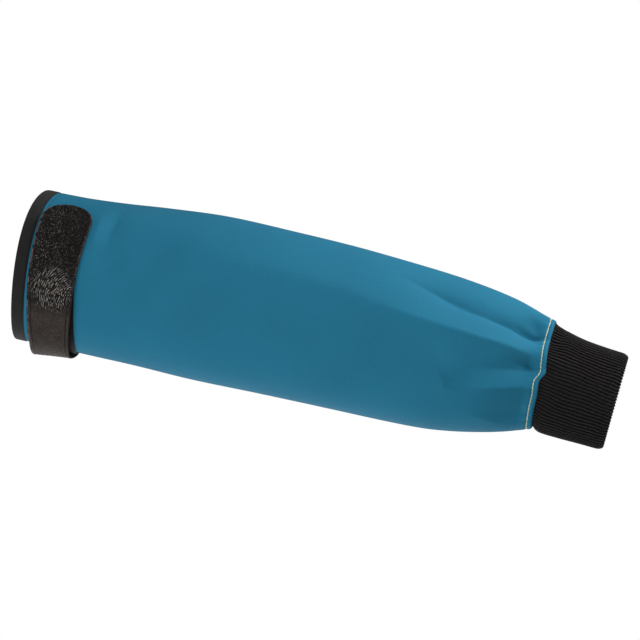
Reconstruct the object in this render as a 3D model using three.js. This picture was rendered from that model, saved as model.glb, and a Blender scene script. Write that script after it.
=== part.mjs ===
// Sleeve protector: a cloth tube that covers the arm from the wrist to above the elbow. An elastic band is
// sewn into its upper end, a leather strap closes round that end, and a rib-knit cuff is sewn to its wrist.
// Millimetres, +Z up. The arm runs along +X from the upper opening, whose centre is the origin, and the
// front of the sleeve faces -Y. Angles go round the arm: 0 is the front, 90 the top and -90 the bottom.

import * as THREE from 'three';
import { LoftGeometry } from 'three/addons/geometries/LoftGeometry.js';
import { mergeVertices } from 'three/addons/utils/BufferGeometryUtils.js';

// Driving dimensions
const TOTAL_LENGTH = 456;
const CUFF_LENGTH = 57;
const BAND_WIDTH = 25;
const BAND_PROUD = 10;
const STRAP_TIP_LENGTH = 16;
const PAD_WIDTH = 33;

// Thickness of each material, and the clearance between pieces that touch
const CLOTH_THICKNESS = 1.2;
const ELASTIC_THICKNESS = 1.8;
const LEATHER_THICKNESS = 1.9;
const PAD_THICKNESS = 2.6;
const KNIT_THICKNESS = 2.6;
const CLEARANCE = 0.3;

// Ribs of the knit cuff
const RIB_COUNT = 78;
const RIB_DEPTH = 0.8;

// Fineness of the faceted surfaces
const CLOTH_SEGMENTS = 60;
const CLOTH_STEPS_PER_ROW = 2;
const CUFF_SEGMENTS = 2 * RIB_COUNT;
const CUFF_ROWS_PER_INSIDE_RING = 3;
const STRAP_STEPS = 44;
const TIP_STEPS = 6;
const PAD_STEPS = 10;

// Places along the arm that follow from the driving dimensions
const CLOTH_START = BAND_PROUD;
const CLOTH_END = TOTAL_LENGTH - CUFF_LENGTH;
const CLOTH_LENGTH = CLOTH_END - CLOTH_START;

// Outside sections of the cloth tube. share: place from the upper edge (0) to the wrist seam (1),
// rise: height of the section's centre, warp: how far the strap's pull draws the section out of its plane.
const CLOTH_ROWS = [
  { share: 0.000, height: 116.6, depth: 110, rise: 0.0, warp: 2.0 },
  { share: 0.060, height: 117.2, depth: 111, rise: 0.4, warp: 2.0 },
  { share: 0.135, height: 119.4, depth: 112, rise: 1.6, warp: 1.4 },
  { share: 0.220, height: 122.8, depth: 114, rise: 3.4, warp: 0.6 },
  { share: 0.335, height: 127.0, depth: 116, rise: 4.8, warp: 0.0 },
  { share: 0.470, height: 125.6, depth: 115, rise: 5.2, warp: 0.0 },
  { share: 0.605, height: 123.6, depth: 112, rise: 4.9, warp: 0.0 },
  { share: 0.725, height: 120.1, depth: 106, rise: 3.6, warp: 0.0 },
  { share: 0.800, height: 116.2, depth: 100, rise: 2.8, warp: 0.0 },
  { share: 0.855, height: 110.4, depth: 93, rise: 2.7, warp: 0.0 },
  { share: 0.910, height: 102.5, depth: 83, rise: 3.0, warp: 0.0 },
  { share: 0.950, height: 95.4, depth: 73, rise: 3.4, warp: 0.0 },
  { share: 0.980, height: 87.8, depth: 64, rise: 3.6, warp: 0.0 },
  { share: 1.000, height: 82.4, depth: 59, rise: 3.7, warp: 0.0 },
];

// Folds of the cloth, each along a line. root and tip: share of the cloth and angle at the line's two ends,
// rise: height of the fold, below zero for a valley, reach: distance over which its sides slope away,
// soft: radius of its crest, held: how much of the rise is left at the root, from 0 to 1, where a seam holds
// the fold, peak: share of the line at which the fold is highest.
const FOLD_ROWS = [
  { root: [1.00, 17], tip: [0.60, 22], rise: 6.4, reach: 9, soft: 0.8, held: 0.25, peak: 0.20 },
  { root: [0.88, 18], tip: [0.22, 36], rise: 3.6, reach: 18, soft: 3.0, held: 0.00, peak: 0.40 },
  { root: [1.00, 38], tip: [0.76, 37], rise: -6.4, reach: 9, soft: 0.6, held: 0.25, peak: 0.20 },
  { root: [0.88, 36], tip: [0.66, 56], rise: -4.4, reach: 9, soft: 0.6, held: 0.00, peak: 0.40 },
  { root: [1.00, 60], tip: [0.64, 66], rise: 7.4, reach: 11, soft: 1.2, held: 0.25, peak: 0.25 },
  { root: [1.00, 44], tip: [0.91, 44], rise: -4.6, reach: 7, soft: 1.0, held: 0.35, peak: 0.35 },
  { root: [1.00, 3], tip: [0.83, -8], rise: -4.4, reach: 7, soft: 0.6, held: 0.25, peak: 0.22 },
  { root: [1.00, 7], tip: [0.92, 5], rise: -4.0, reach: 6, soft: 1.0, held: 0.30, peak: 0.40 },
  { root: [1.00, -13], tip: [0.78, -27], rise: 4.6, reach: 8, soft: 0.6, held: 0.30, peak: 0.45 },
  { root: [0.835, -30], tip: [0.785, 12], rise: 5.0, reach: 12, soft: 0.5, held: 0.10, peak: 0.40 },
  { root: [1.00, -46], tip: [0.88, -42], rise: -3.6, reach: 11, soft: 4.0, held: 0.35, peak: 0.25 },
  { root: [1.00, 112], tip: [0.72, 116], rise: -2.6, reach: 10, soft: 1.5, held: 0.35, peak: 0.20 },
  { root: [1.00, 134], tip: [0.76, 138], rise: 2.6, reach: 9, soft: 0.8, held: 0.35, peak: 0.20 },
  { root: [1.00, 160], tip: [0.80, 158], rise: -2.8, reach: 9, soft: 0.8, held: 0.35, peak: 0.20 },
  { root: [1.00, 186], tip: [0.74, 182], rise: 2.8, reach: 9, soft: 0.8, held: 0.35, peak: 0.20 },
  { root: [1.00, 212], tip: [0.82, 208], rise: -2.6, reach: 9, soft: 0.8, held: 0.35, peak: 0.20 },
  { root: [1.00, 240], tip: [0.78, 238], rise: 1.8, reach: 9, soft: 1.5, held: 0.35, peak: 0.20 },
  { root: [0.300, 46], tip: [0.150, -20], rise: -2.6, reach: 16, soft: 5.0, held: 0.00, peak: 0.45 },
  { root: [0.150, 150], tip: [0.320, 205], rise: -2.0, reach: 12, soft: 2.0, held: 0.00, peak: 0.50 },
];

// Outside sections of the cuff. share: place from the wrist seam (0) to the cuff's end (1), below zero
// where the cuff is tucked into the sleeve, lean: tilt of the section as the cuff droops, in degrees.
const CUFF_ROWS = [
  { share: -0.070, height: 78.8, depth: 55.4, rise: 3.7, lean: 0.0 },
  { share: 0.010, height: 78.8, depth: 55.4, rise: 3.6, lean: 0.0 },
  { share: 0.060, height: 79.4, depth: 55.2, rise: 2.0, lean: 1.0 },
  { share: 0.140, height: 79.0, depth: 54.0, rise: 0.3, lean: 2.0 },
  { share: 0.400, height: 76.2, depth: 51.0, rise: -2.1, lean: 3.0 },
  { share: 0.700, height: 74.6, depth: 49.0, rise: -3.5, lean: 3.0 },
  { share: 0.965, height: 74.0, depth: 48.0, rise: -4.5, lean: 3.0 },
];

// Share of the cuff over which the folds of the wrist seam fade out
const CUFF_FOLD_FADE = 0.25;

// Profile of the band: lift of its outside from the cloth's outside, along the arm
const BAND_ROWS = [
  { along: 0.0, lift: -0.3 },
  { along: 1.2, lift: 0.3 },
  { along: BAND_PROUD - 1.8, lift: 0.3 },
  { along: BAND_PROUD - 0.5, lift: -CLOTH_THICKNESS - CLEARANCE },
  { along: BAND_WIDTH, lift: -CLOTH_THICKNESS - CLEARANCE },
];

// Course of the strap from its sewn end on the back, under the arm and up the front to its tip.
// along: place of its middle, lift: clearance over the cloth, flare: share of the lift by which its upper
// edge stands higher than its middle and its wrist edge lower.
const PAD_LIFT = CLEARANCE + PAD_THICKNESS + CLEARANCE;
const STRAP_ROWS = [
  { angle: -200, along: 30.5, width: 34, lift: CLEARANCE, flare: 0.0 },
  { angle: -165, along: 30.5, width: 34, lift: CLEARANCE, flare: 0.0 },
  { angle: -140, along: 31.0, width: 33, lift: 1.8, flare: 0.1 },
  { angle: -112, along: 31.5, width: 32, lift: 4.0, flare: 0.3 },
  { angle: -88, along: 31.8, width: 32, lift: 4.8, flare: 0.4 },
  { angle: -62, along: 31.6, width: 33, lift: 5.8, flare: -0.35 },
  { angle: -32, along: 31.0, width: 35, lift: 4.8, flare: -0.45 },
  { angle: -4, along: 30.4, width: 36, lift: PAD_LIFT, flare: 0.0 },
  { angle: 28, along: 31.2, width: 38, lift: PAD_LIFT, flare: 0.0 },
  { angle: 52.5, along: 31.2, width: 38.4, lift: PAD_LIFT, flare: 0.0 },
];

// Course of the fastener pad under the strap's tip
const PAD_ROWS = [
  { angle: -4, along: 30.9, width: PAD_WIDTH, lift: CLEARANCE, flare: 0.0 },
  { angle: 36, along: 30.7, width: PAD_WIDTH, lift: CLEARANCE, flare: 0.0 },
];

// Corners and middles of a flat strip's section, counterclockwise as seen from its end
const STRIP_SECTION = [
  { across: -1, face: 1 },
  { across: 0, face: 1 },
  { across: 1, face: 1 },
  { across: 1, face: 0 },
  { across: 0, face: 0 },
  { across: -1, face: 0 },
];

// Reads one column of a table at a place between its rows, along a smooth curve through them.
function smoothColumn(rows, place, column, at) {
  const last = rows.length - 1;
  let index = 0;
  while (index < last - 1 && at > rows[index + 1][place]) index += 1;
  const slope = (row) => {
    const before = rows[Math.max(row - 1, 0)];
    const after = rows[Math.min(row + 1, last)];
    return (after[column] - before[column]) / (after[place] - before[place]);
  };
  const from = rows[index];
  const to = rows[index + 1];
  const span = to[place] - from[place];
  const t = THREE.MathUtils.clamp((at - from[place]) / span, 0, 1);
  const ease = t * t * (3 - 2 * t);
  const bend = t * (1 - t) * span;
  return THREE.MathUtils.lerp(from[column], to[column], ease)
    + bend * ((1 - t) * slope(index) - t * slope(index + 1));
}

// Places between the rows of a table, each gap cut into equal steps.
function placesBetween(rows, place, steps) {
  const places = [rows[0][place]];
  for (let row = 1; row < rows.length; row += 1) {
    for (let step = 1; step <= steps; step += 1) {
      places.push(THREE.MathUtils.lerp(rows[row - 1][place], rows[row][place], step / steps));
    }
  }
  return places;
}

// Section of the cloth's outside at a place along the arm.
function clothSection(along) {
  const share = (along - CLOTH_START) / CLOTH_LENGTH;
  return {
    halfHeight: smoothColumn(CLOTH_ROWS, 'share', 'height', share) / 2,
    halfDepth: smoothColumn(CLOTH_ROWS, 'share', 'depth', share) / 2,
    rise: smoothColumn(CLOTH_ROWS, 'share', 'rise', share),
    warp: smoothColumn(CLOTH_ROWS, 'share', 'warp', share),
    lean: 0,
  };
}

// A point round an oval section, lifted off it by a distance.
function ovalPoint(section, along, angle, lift) {
  const radians = THREE.MathUtils.degToRad(angle);
  const across = -(section.halfDepth + lift) * Math.cos(radians);
  const up = (section.halfHeight + lift) * Math.sin(radians);
  const tilt = Math.tan(THREE.MathUtils.degToRad(section.lean)) * up;
  const pull = -section.warp * Math.sin(2 * radians);
  return new THREE.Vector3(along + tilt + pull, across, section.rise + up);
}

// Height of one fold at a place on the cloth: highest on its line, fading across it and to its tip.
function foldHeight(fold, share, angle, radius) {
  const arc = THREE.MathUtils.degToRad(1) * radius;
  const nearAngle = fold.root[1] + THREE.MathUtils.euclideanModulo(angle - fold.root[1] + 180, 360) - 180;
  const root = new THREE.Vector2(fold.root[0] * CLOTH_LENGTH, fold.root[1] * arc);
  const tip = new THREE.Vector2(fold.tip[0] * CLOTH_LENGTH, fold.tip[1] * arc);
  const here = new THREE.Vector2(share * CLOTH_LENGTH, nearAngle * arc);
  const line = tip.clone().sub(root);
  const t = THREE.MathUtils.clamp(here.clone().sub(root).dot(line) / line.lengthSq(), 0, 1);
  const distance = here.distanceTo(root.addScaledVector(line, t));
  const grown = THREE.MathUtils.lerp(fold.held, 1, THREE.MathUtils.smoothstep(t, 0, fold.peak));
  const faded = 1 - THREE.MathUtils.smoothstep(t, fold.peak, 1);
  const slope = Math.exp((fold.soft - Math.hypot(distance, fold.soft)) / fold.reach);
  return fold.rise * grown * faded * slope;
}

// Height of all folds together at a place on the cloth.
function foldsAt(along, angle) {
  const section = clothSection(along);
  const radius = (section.halfHeight + section.halfDepth) / 2;
  const share = (along - CLOTH_START) / CLOTH_LENGTH;
  return FOLD_ROWS.reduce((sum, fold) => sum + foldHeight(fold, share, angle, radius), 0);
}

// Angles round a ring, counterclockwise as seen from the wrist.
function ringAngles(segments) {
  return Array.from({ length: segments }, (_, index) => (-360 * index) / segments);
}

// A closed wall between rings that run out along its outside and back along its inside.
function wallGeometry(rings) {
  return new LoftGeometry([...rings, rings[0]]);
}

// A named mesh whose geometry is welded into one closed body.
function pieceMesh(name, geometry, look) {
  const bare = new THREE.BufferGeometry();
  bare.setAttribute('position', geometry.getAttribute('position'));
  bare.setIndex(geometry.getIndex());
  const welded = mergeVertices(bare);
  welded.computeVertexNormals();
  const mesh = new THREE.Mesh(welded, new THREE.MeshStandardMaterial(look));
  mesh.name = name;
  return mesh;
}

// The cloth tube, with its folds on both sides of the wall.
function sleeveBody() {
  const places = placesBetween(CLOTH_ROWS, 'share', CLOTH_STEPS_PER_ROW)
    .map((share) => CLOTH_START + share * CLOTH_LENGTH);
  const ring = (along, depth) => {
    const section = clothSection(along);
    return ringAngles(CLOTH_SEGMENTS)
      .map((angle) => ovalPoint(section, along, angle, foldsAt(along, angle) - depth));
  };
  const outside = places.map((along) => ring(along, 0));
  const inside = places.toReversed().map((along) => ring(along, CLOTH_THICKNESS));
  const look = { color: 0x286c88, roughness: 0.85, metalness: 0 };
  return pieceMesh('sleeve_body', wallGeometry([...outside, ...inside]), look);
}

// The elastic band, stepped inwards where it is tucked into the cloth.
function armBand() {
  const ring = (row, depth) => {
    const section = clothSection(row.along);
    return ringAngles(CLOTH_SEGMENTS)
      .map((angle) => ovalPoint(section, row.along, angle, row.lift - depth));
  };
  const outside = BAND_ROWS.map((row) => ring(row, 0));
  const inside = BAND_ROWS.toReversed().map((row) => ring(row, ELASTIC_THICKNESS));
  const look = { color: 0x2c2c2a, roughness: 0.9, metalness: 0 };
  return pieceMesh('arm_band', wallGeometry([...outside, ...inside]), look);
}

// The knit cuff, ribbed on its outside, with a round fold at its end.
function wristCuff() {
  const ring = (share, depth, ribDepth) => {
    const column = (name) => smoothColumn(CUFF_ROWS, 'share', name, share);
    const section = {
      halfHeight: column('height') / 2,
      halfDepth: column('depth') / 2,
      rise: column('rise'),
      warp: 0,
      lean: column('lean'),
    };
    const along = CLOTH_END + share * CUFF_LENGTH;
    const foldShare = 1 - THREE.MathUtils.smoothstep(share, 0, CUFF_FOLD_FADE);
    return ringAngles(CUFF_SEGMENTS).map((angle, index) => {
      const fold = foldShare * foldsAt(Math.min(along, CLOTH_END), angle);
      const rib = index % 2 === 0 ? 0 : ribDepth;
      return ovalPoint(section, along, angle, fold - depth - rib);
    });
  };
  const shares = CUFF_ROWS.map((row) => row.share);
  const outside = shares.map((share) => ring(share, 0, RIB_DEPTH));
  const nose = ring(1, KNIT_THICKNESS / 2, RIB_DEPTH / 2);
  const inside = shares.filter((_, row) => row % CUFF_ROWS_PER_INSIDE_RING === 0)
    .toReversed()
    .map((share) => ring(share, KNIT_THICKNESS, 0));
  const look = { color: 0x191717, roughness: 0.95, metalness: 0 };
  return pieceMesh('wrist_cuff', wallGeometry([...outside, nose, ...inside]), look);
}

// A flat strip wrapped round the sleeve through stations of angle, each with its share of the full width.
function stripGeometry(rows, stations, thickness) {
  const sections = stations.map(({ angle, share }) => {
    const column = (name) => smoothColumn(rows, 'angle', name, angle);
    return STRIP_SECTION.map(({ across, face }) => {
      const along = column('along') + across * share * column('width') / 2;
      const lift = column('lift') * (1 - across * column('flare')) + face * thickness;
      return ovalPoint(clothSection(along), along, angle, lift);
    });
  });
  return new LoftGeometry(sections, { capStart: true, capEnd: true });
}

// Stations of the strap: even steps to its shoulder, then the round tip, which stops short of a point.
function strapStations() {
  const start = STRAP_ROWS[0].angle;
  const tip = STRAP_ROWS.at(-1).angle;
  const tipRadius = clothSection(STRAP_ROWS.at(-1).along).halfHeight;
  const tipAngle = THREE.MathUtils.radToDeg(STRAP_TIP_LENGTH / tipRadius);
  const stations = [];
  for (let step = 0; step <= STRAP_STEPS; step += 1) {
    stations.push({ angle: THREE.MathUtils.lerp(start, tip - tipAngle, step / STRAP_STEPS), share: 1 });
  }
  const fullTurnSteps = TIP_STEPS + 0.5;
  for (let step = 1; step <= TIP_STEPS; step += 1) {
    const turn = (Math.PI / 2) * (step / fullTurnSteps);
    stations.push({ angle: tip - tipAngle * (1 - Math.sin(turn)), share: Math.cos(turn) });
  }
  return stations;
}

// The leather strap, from its square sewn end to its round tip.
function armStrap() {
  const look = { color: 0x2b2928, roughness: 0.55, metalness: 0 };
  return pieceMesh('arm_strap', stripGeometry(STRAP_ROWS, strapStations(), LEATHER_THICKNESS), look);
}

// The hook-and-loop pad that the strap's tip closes on.
function strapFastener() {
  const stations = placesBetween(PAD_ROWS, 'angle', PAD_STEPS).map((angle) => ({ angle, share: 1 }));
  const look = { color: 0x1a1a1a, roughness: 1, metalness: 0 };
  return pieceMesh('strap_fastener', stripGeometry(PAD_ROWS, stations, PAD_THICKNESS), look);
}

const sleeveProtector = new THREE.Group();
sleeveProtector.name = 'sleeve_protector';
sleeveProtector.add(sleeveBody(), armBand(), armStrap(), strapFastener(), wristCuff());

export default sleeveProtector;
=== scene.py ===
"""Sleeve protector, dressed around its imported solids.

A tapered tube of blue woven cloth covers the arm from the wrist to above the elbow. An elastic band is sewn
into its upper end, a leather strap closes round that end on a hook-and-loop pad, and a rib-knit cuff is
top-stitched into its wrist. Sizes in the tables are millimetres, as in the part's source, and meshes are
metres. Angles go round the arm: 0 is the front, 90 the top and -90 the bottom.
"""

from __future__ import annotations

import logging
import math
from abc import ABC, abstractmethod
from collections.abc import Callable, Mapping, Sequence
from dataclasses import dataclass, field
from enum import Enum
from typing import Any, NamedTuple

import bpy
import numpy as np
from mathutils import Matrix, Vector, noise


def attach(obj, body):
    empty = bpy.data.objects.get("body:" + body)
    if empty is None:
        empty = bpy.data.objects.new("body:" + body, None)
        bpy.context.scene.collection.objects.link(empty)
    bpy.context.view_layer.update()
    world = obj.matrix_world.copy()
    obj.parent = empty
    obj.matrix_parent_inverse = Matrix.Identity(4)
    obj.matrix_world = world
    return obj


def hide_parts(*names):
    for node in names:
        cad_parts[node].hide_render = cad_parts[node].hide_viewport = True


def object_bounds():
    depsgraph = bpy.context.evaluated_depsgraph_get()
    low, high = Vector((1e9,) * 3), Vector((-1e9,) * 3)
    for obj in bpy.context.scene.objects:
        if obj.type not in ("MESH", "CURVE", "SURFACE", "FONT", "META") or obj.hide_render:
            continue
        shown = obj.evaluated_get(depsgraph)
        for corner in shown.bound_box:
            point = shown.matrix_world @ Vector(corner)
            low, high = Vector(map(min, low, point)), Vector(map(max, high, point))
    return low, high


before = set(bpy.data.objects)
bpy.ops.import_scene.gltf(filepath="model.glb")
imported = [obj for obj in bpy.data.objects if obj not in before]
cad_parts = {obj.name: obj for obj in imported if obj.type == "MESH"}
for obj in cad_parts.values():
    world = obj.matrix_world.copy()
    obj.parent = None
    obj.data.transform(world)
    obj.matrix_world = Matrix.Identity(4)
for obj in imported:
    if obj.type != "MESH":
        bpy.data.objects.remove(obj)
CAD_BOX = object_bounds()

Array = np.ndarray
LOG = logging.getLogger("sleeve_protector")
MM = 0.001
BODY = "root"
SURFACE_UV = "surface"

# Driving dimensions, as in the part's source
TOTAL_LENGTH = 456.0
CUFF_LENGTH = 57.0
BAND_WIDTH = 25.0
BAND_PROUD = 10.0
CLOTH_THICKNESS = 1.2
ELASTIC_THICKNESS = 1.8
LEATHER_THICKNESS = 1.9
PAD_THICKNESS = 2.6
KNIT_THICKNESS = 2.6
CLEARANCE = 0.3
CLOTH_START = BAND_PROUD
CLOTH_END = TOTAL_LENGTH - CUFF_LENGTH
CLOTH_LENGTH = CLOTH_END - CLOTH_START

# Sizes that the scene alone has: the black strip of painted shade under the strap, and mean radii for
# places on the flat materials
SHADE_STRIP_THICKNESS = 1.0
CLOTH_RADIUS = 58.0
BAND_RADIUS = 57.0


class ClothRow(NamedTuple):
    """Outside section of the cloth tube at a share of its length from the upper edge."""

    share: float
    height: float
    depth: float
    rise: float
    warp: float


class FoldRow(NamedTuple):
    """A fold along a line between two places, each a share of the cloth and an angle."""

    root: tuple[float, float]
    tip: tuple[float, float]
    rise: float
    reach: float
    soft: float
    held: float
    peak: float


class HemRow(NamedTuple):
    """How far the wrist hem is pulled along the arm at an angle."""

    angle: float
    pull: float


class CuffRow(NamedTuple):
    """Outside section of the cuff at a share of its length from the wrist seam."""

    share: float
    height: float
    depth: float
    rise: float
    lean: float


class StripRow(NamedTuple):
    """Course of a flat strip round the sleeve at an angle."""

    angle: float
    along: float
    width: float
    lift: float
    flare: float


CLOTH_ROWS = (
    ClothRow(0.000, 116.6, 110, 0.0, 2.0),
    ClothRow(0.060, 117.2, 111, 0.4, 2.0),
    ClothRow(0.135, 119.4, 112, 1.6, 1.4),
    ClothRow(0.220, 122.8, 114, 3.4, 0.6),
    ClothRow(0.335, 127.0, 116, 4.8, 0.0),
    ClothRow(0.470, 125.6, 115, 5.2, 0.0),
    ClothRow(0.605, 123.6, 112, 4.9, 0.0),
    ClothRow(0.725, 120.1, 106, 3.6, 0.0),
    ClothRow(0.800, 116.2, 100, 2.8, 0.0),
    ClothRow(0.855, 110.4, 93, 2.7, 0.0),
    ClothRow(0.910, 102.5, 83, 3.0, 0.0),
    ClothRow(0.950, 95.4, 73, 3.4, 0.0),
    ClothRow(0.980, 87.8, 64, 3.6, 0.0),
    ClothRow(1.000, 82.4, 59, 3.7, 0.0),
)

# The folds that the solids have too, with deeper valleys above the wrist's front
MAIN_FOLDS = (
    FoldRow((1.00, 17), (0.60, 22), 6.4, 9, 0.8, 0.25, 0.20),
    FoldRow((0.88, 18), (0.22, 36), 3.6, 18, 3.0, 0.00, 0.40),
    FoldRow((1.00, 42), (0.74, 43), -9.5, 13, 0.6, 0.25, 0.22),
    FoldRow((0.88, 42), (0.66, 56), -6.0, 12, 0.6, 0.00, 0.40),
    FoldRow((1.00, 86), (0.64, 82), 2.0, 13, 3.0, 0.25, 0.25),
    FoldRow((1.00, 47), (0.91, 46), -5.4, 9, 1.0, 0.35, 0.35),
    FoldRow((1.00, 3), (0.83, -8), -4.4, 7, 0.6, 0.25, 0.22),
    FoldRow((1.00, 7), (0.92, 5), -4.0, 6, 1.0, 0.30, 0.40),
    FoldRow((1.00, -13), (0.78, -27), 4.6, 8, 0.6, 0.30, 0.45),
    FoldRow((0.835, -30), (0.785, 12), 5.0, 12, 0.5, 0.10, 0.40),
    FoldRow((1.00, -46), (0.88, -42), -3.6, 11, 4.0, 0.35, 0.25),
    FoldRow((1.00, 112), (0.72, 116), -2.6, 10, 1.5, 0.35, 0.20),
    FoldRow((1.00, 134), (0.76, 138), 2.6, 9, 0.8, 0.35, 0.20),
    FoldRow((1.00, 160), (0.80, 158), -2.8, 9, 0.8, 0.35, 0.20),
    FoldRow((1.00, 186), (0.74, 182), 2.8, 9, 0.8, 0.35, 0.20),
    FoldRow((1.00, 212), (0.82, 208), -2.6, 9, 0.8, 0.35, 0.20),
    FoldRow((1.00, 240), (0.78, 238), 1.8, 9, 1.5, 0.35, 0.20),
    FoldRow((0.300, 46), (0.150, -20), -2.6, 16, 5.0, 0.00, 0.45),
    FoldRow((0.150, 150), (0.320, 205), -2.0, 12, 2.0, 0.00, 0.50),
)

# Smaller folds by the strap and at the wrist seam, in the cloth alone
SMALL_FOLDS = (
    FoldRow((0.115, 62), (0.115, 12), 1.2, 3, 0.8, 0.00, 0.45),
    FoldRow((0.143, 66), (0.139, 12), -1.9, 7, 1.0, 0.20, 0.45),
    FoldRow((0.122, 2), (0.205, 20), -2.0, 6, 1.5, 0.30, 0.40),
    FoldRow((0.170, -10), (0.178, -46), -2.2, 6, 1.0, 0.00, 0.50),
    FoldRow((0.960, -64), (0.850, -38), 1.3, 6, 1.0, 0.20, 0.40),
    FoldRow((0.970, 50), (0.966, 76), -4.6, 7, 2.5, 0.70, 0.35),
    FoldRow((0.968, 15), (0.974, -2), -2.8, 5, 1.5, 0.50, 0.50),
)

# Pull of the gathers on the wrist hem
HEM_ROWS = (
    HemRow(-180, 0.3),
    HemRow(-130, -0.8),
    HemRow(-90, 0.0),
    HemRow(-42, -1.0),
    HemRow(-22, -0.9),
    HemRow(-7, -1.5),
    HemRow(2, 1.5),
    HemRow(12, 0.7),
    HemRow(28, -0.4),
    HemRow(48, -0.4),
    HemRow(75, 0.2),
    HemRow(110, 0.7),
    HemRow(145, -0.9),
    HemRow(180, 0.3),
)

CUFF_ROWS = (
    CuffRow(-0.070, 78.8, 55.4, 3.7, 0.0),
    CuffRow(0.010, 78.8, 55.4, 3.6, 0.0),
    CuffRow(0.060, 79.4, 55.2, 2.0, 1.0),
    CuffRow(0.140, 79.0, 54.0, 0.3, 2.0),
    CuffRow(0.400, 76.2, 51.0, -2.1, 3.0),
    CuffRow(0.700, 74.6, 49.0, -3.5, 3.0),
    CuffRow(0.965, 74.0, 48.0, -4.5, 3.0),
)

PAD_LIFT = CLEARANCE + PAD_THICKNESS + CLEARANCE
STRAP_ROWS = (
    StripRow(-200, 30.5, 34, CLEARANCE, 0.0),
    StripRow(-165, 30.5, 34, CLEARANCE, 0.0),
    StripRow(-140, 31.0, 33, 1.8, 0.1),
    StripRow(-112, 31.5, 32, 4.0, 0.3),
    StripRow(-88, 31.8, 32, 4.8, 0.4),
    StripRow(-62, 31.6, 33, 5.8, -0.35),
    StripRow(-32, 31.0, 35, 4.8, -0.45),
    StripRow(-4, 30.4, 36, PAD_LIFT, 0.0),
    StripRow(28, 31.2, 38, PAD_LIFT, 0.0),
    StripRow(52.5, 31.2, 38.4, PAD_LIFT, 0.0),
)
SHADE_STRIP_ROWS = (
    StripRow(-146, 32.0, 30, CLEARANCE, 0.0),
    StripRow(-112, 33.0, 30, CLEARANCE, 0.0),
    StripRow(-88, 34.6, 30, CLEARANCE, 0.0),
    StripRow(-62, 35.2, 30, CLEARANCE, 0.0),
    StripRow(-32, 34.1, 30, CLEARANCE, 0.0),
    StripRow(-7, 32.6, 30, CLEARANCE, 0.0),
)
PAD_ROWS = (
    StripRow(-4, 30.9, 33, CLEARANCE, 0.0),
    StripRow(36, 30.7, 33, CLEARANCE, 0.0),
)


def smoothstep(low: float, high: float, at: Array) -> Array:
    """An S-shaped rise from 0 at low to 1 at high."""
    t = np.clip((np.asarray(at, float) - low) / (high - low), 0, 1)
    return t * t * (3 - 2 * t)


def bell(at: Array, width: float) -> Array:
    """A bump of height 1 at 0 that fades over a width on both sides."""
    return np.exp(-((np.asarray(at, float) / width) ** 2))


@dataclass(frozen=True)
class SmoothTable:
    """Rows of named columns, read along a smooth curve through them."""

    rows: tuple[NamedTuple, ...]
    place: str

    def column(self, name: str, at: Array) -> Array:
        """Reads one column between its rows.

        Args:
            name: The column to read.
            at: Places along the table.

        Returns:
            The column's value at each place.
        """
        places = np.array([getattr(row, self.place) for row in self.rows], float)
        values = np.array([getattr(row, name) for row in self.rows], float)
        before = np.maximum(np.arange(len(places)) - 1, 0)
        after = np.minimum(np.arange(len(places)) + 1, len(places) - 1)
        slopes = (values[after] - values[before]) / (places[after] - places[before])
        index = np.clip(np.searchsorted(places, at) - 1, 0, len(places) - 2)
        span = places[index + 1] - places[index]
        t = np.clip((at - places[index]) / span, 0, 1)
        ease = t * t * (3 - 2 * t)
        bend = t * (1 - t) * span * ((1 - t) * slopes[index] - t * slopes[index + 1])
        return values[index] + (values[index + 1] - values[index]) * ease + bend


@dataclass(frozen=True)
class Section:
    """Ovals round the arm, one for each place along it."""

    half_height: Array
    half_depth: Array
    rise: Array
    warp: Array | float = 0.0
    lean: Array | float = 0.0

    def points(self, along: Array, angle: Array, lift: Array) -> Array:
        """Points round the ovals.

        Args:
            along: Places along the arm.
            angle: Angles round it, in degrees.
            lift: Distances off the oval.

        Returns:
            Points in millimetres, with x, y and z on the last axis.
        """
        turn = np.radians(angle)
        up = (self.half_height + lift) * np.sin(turn)
        across = -(self.half_depth + lift) * np.cos(turn)
        tilt = np.tan(np.radians(self.lean)) * up
        pull = -self.warp * np.sin(2 * turn)
        return np.stack(np.broadcast_arrays(along + tilt + pull, across, self.rise + up), axis=-1)


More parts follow.
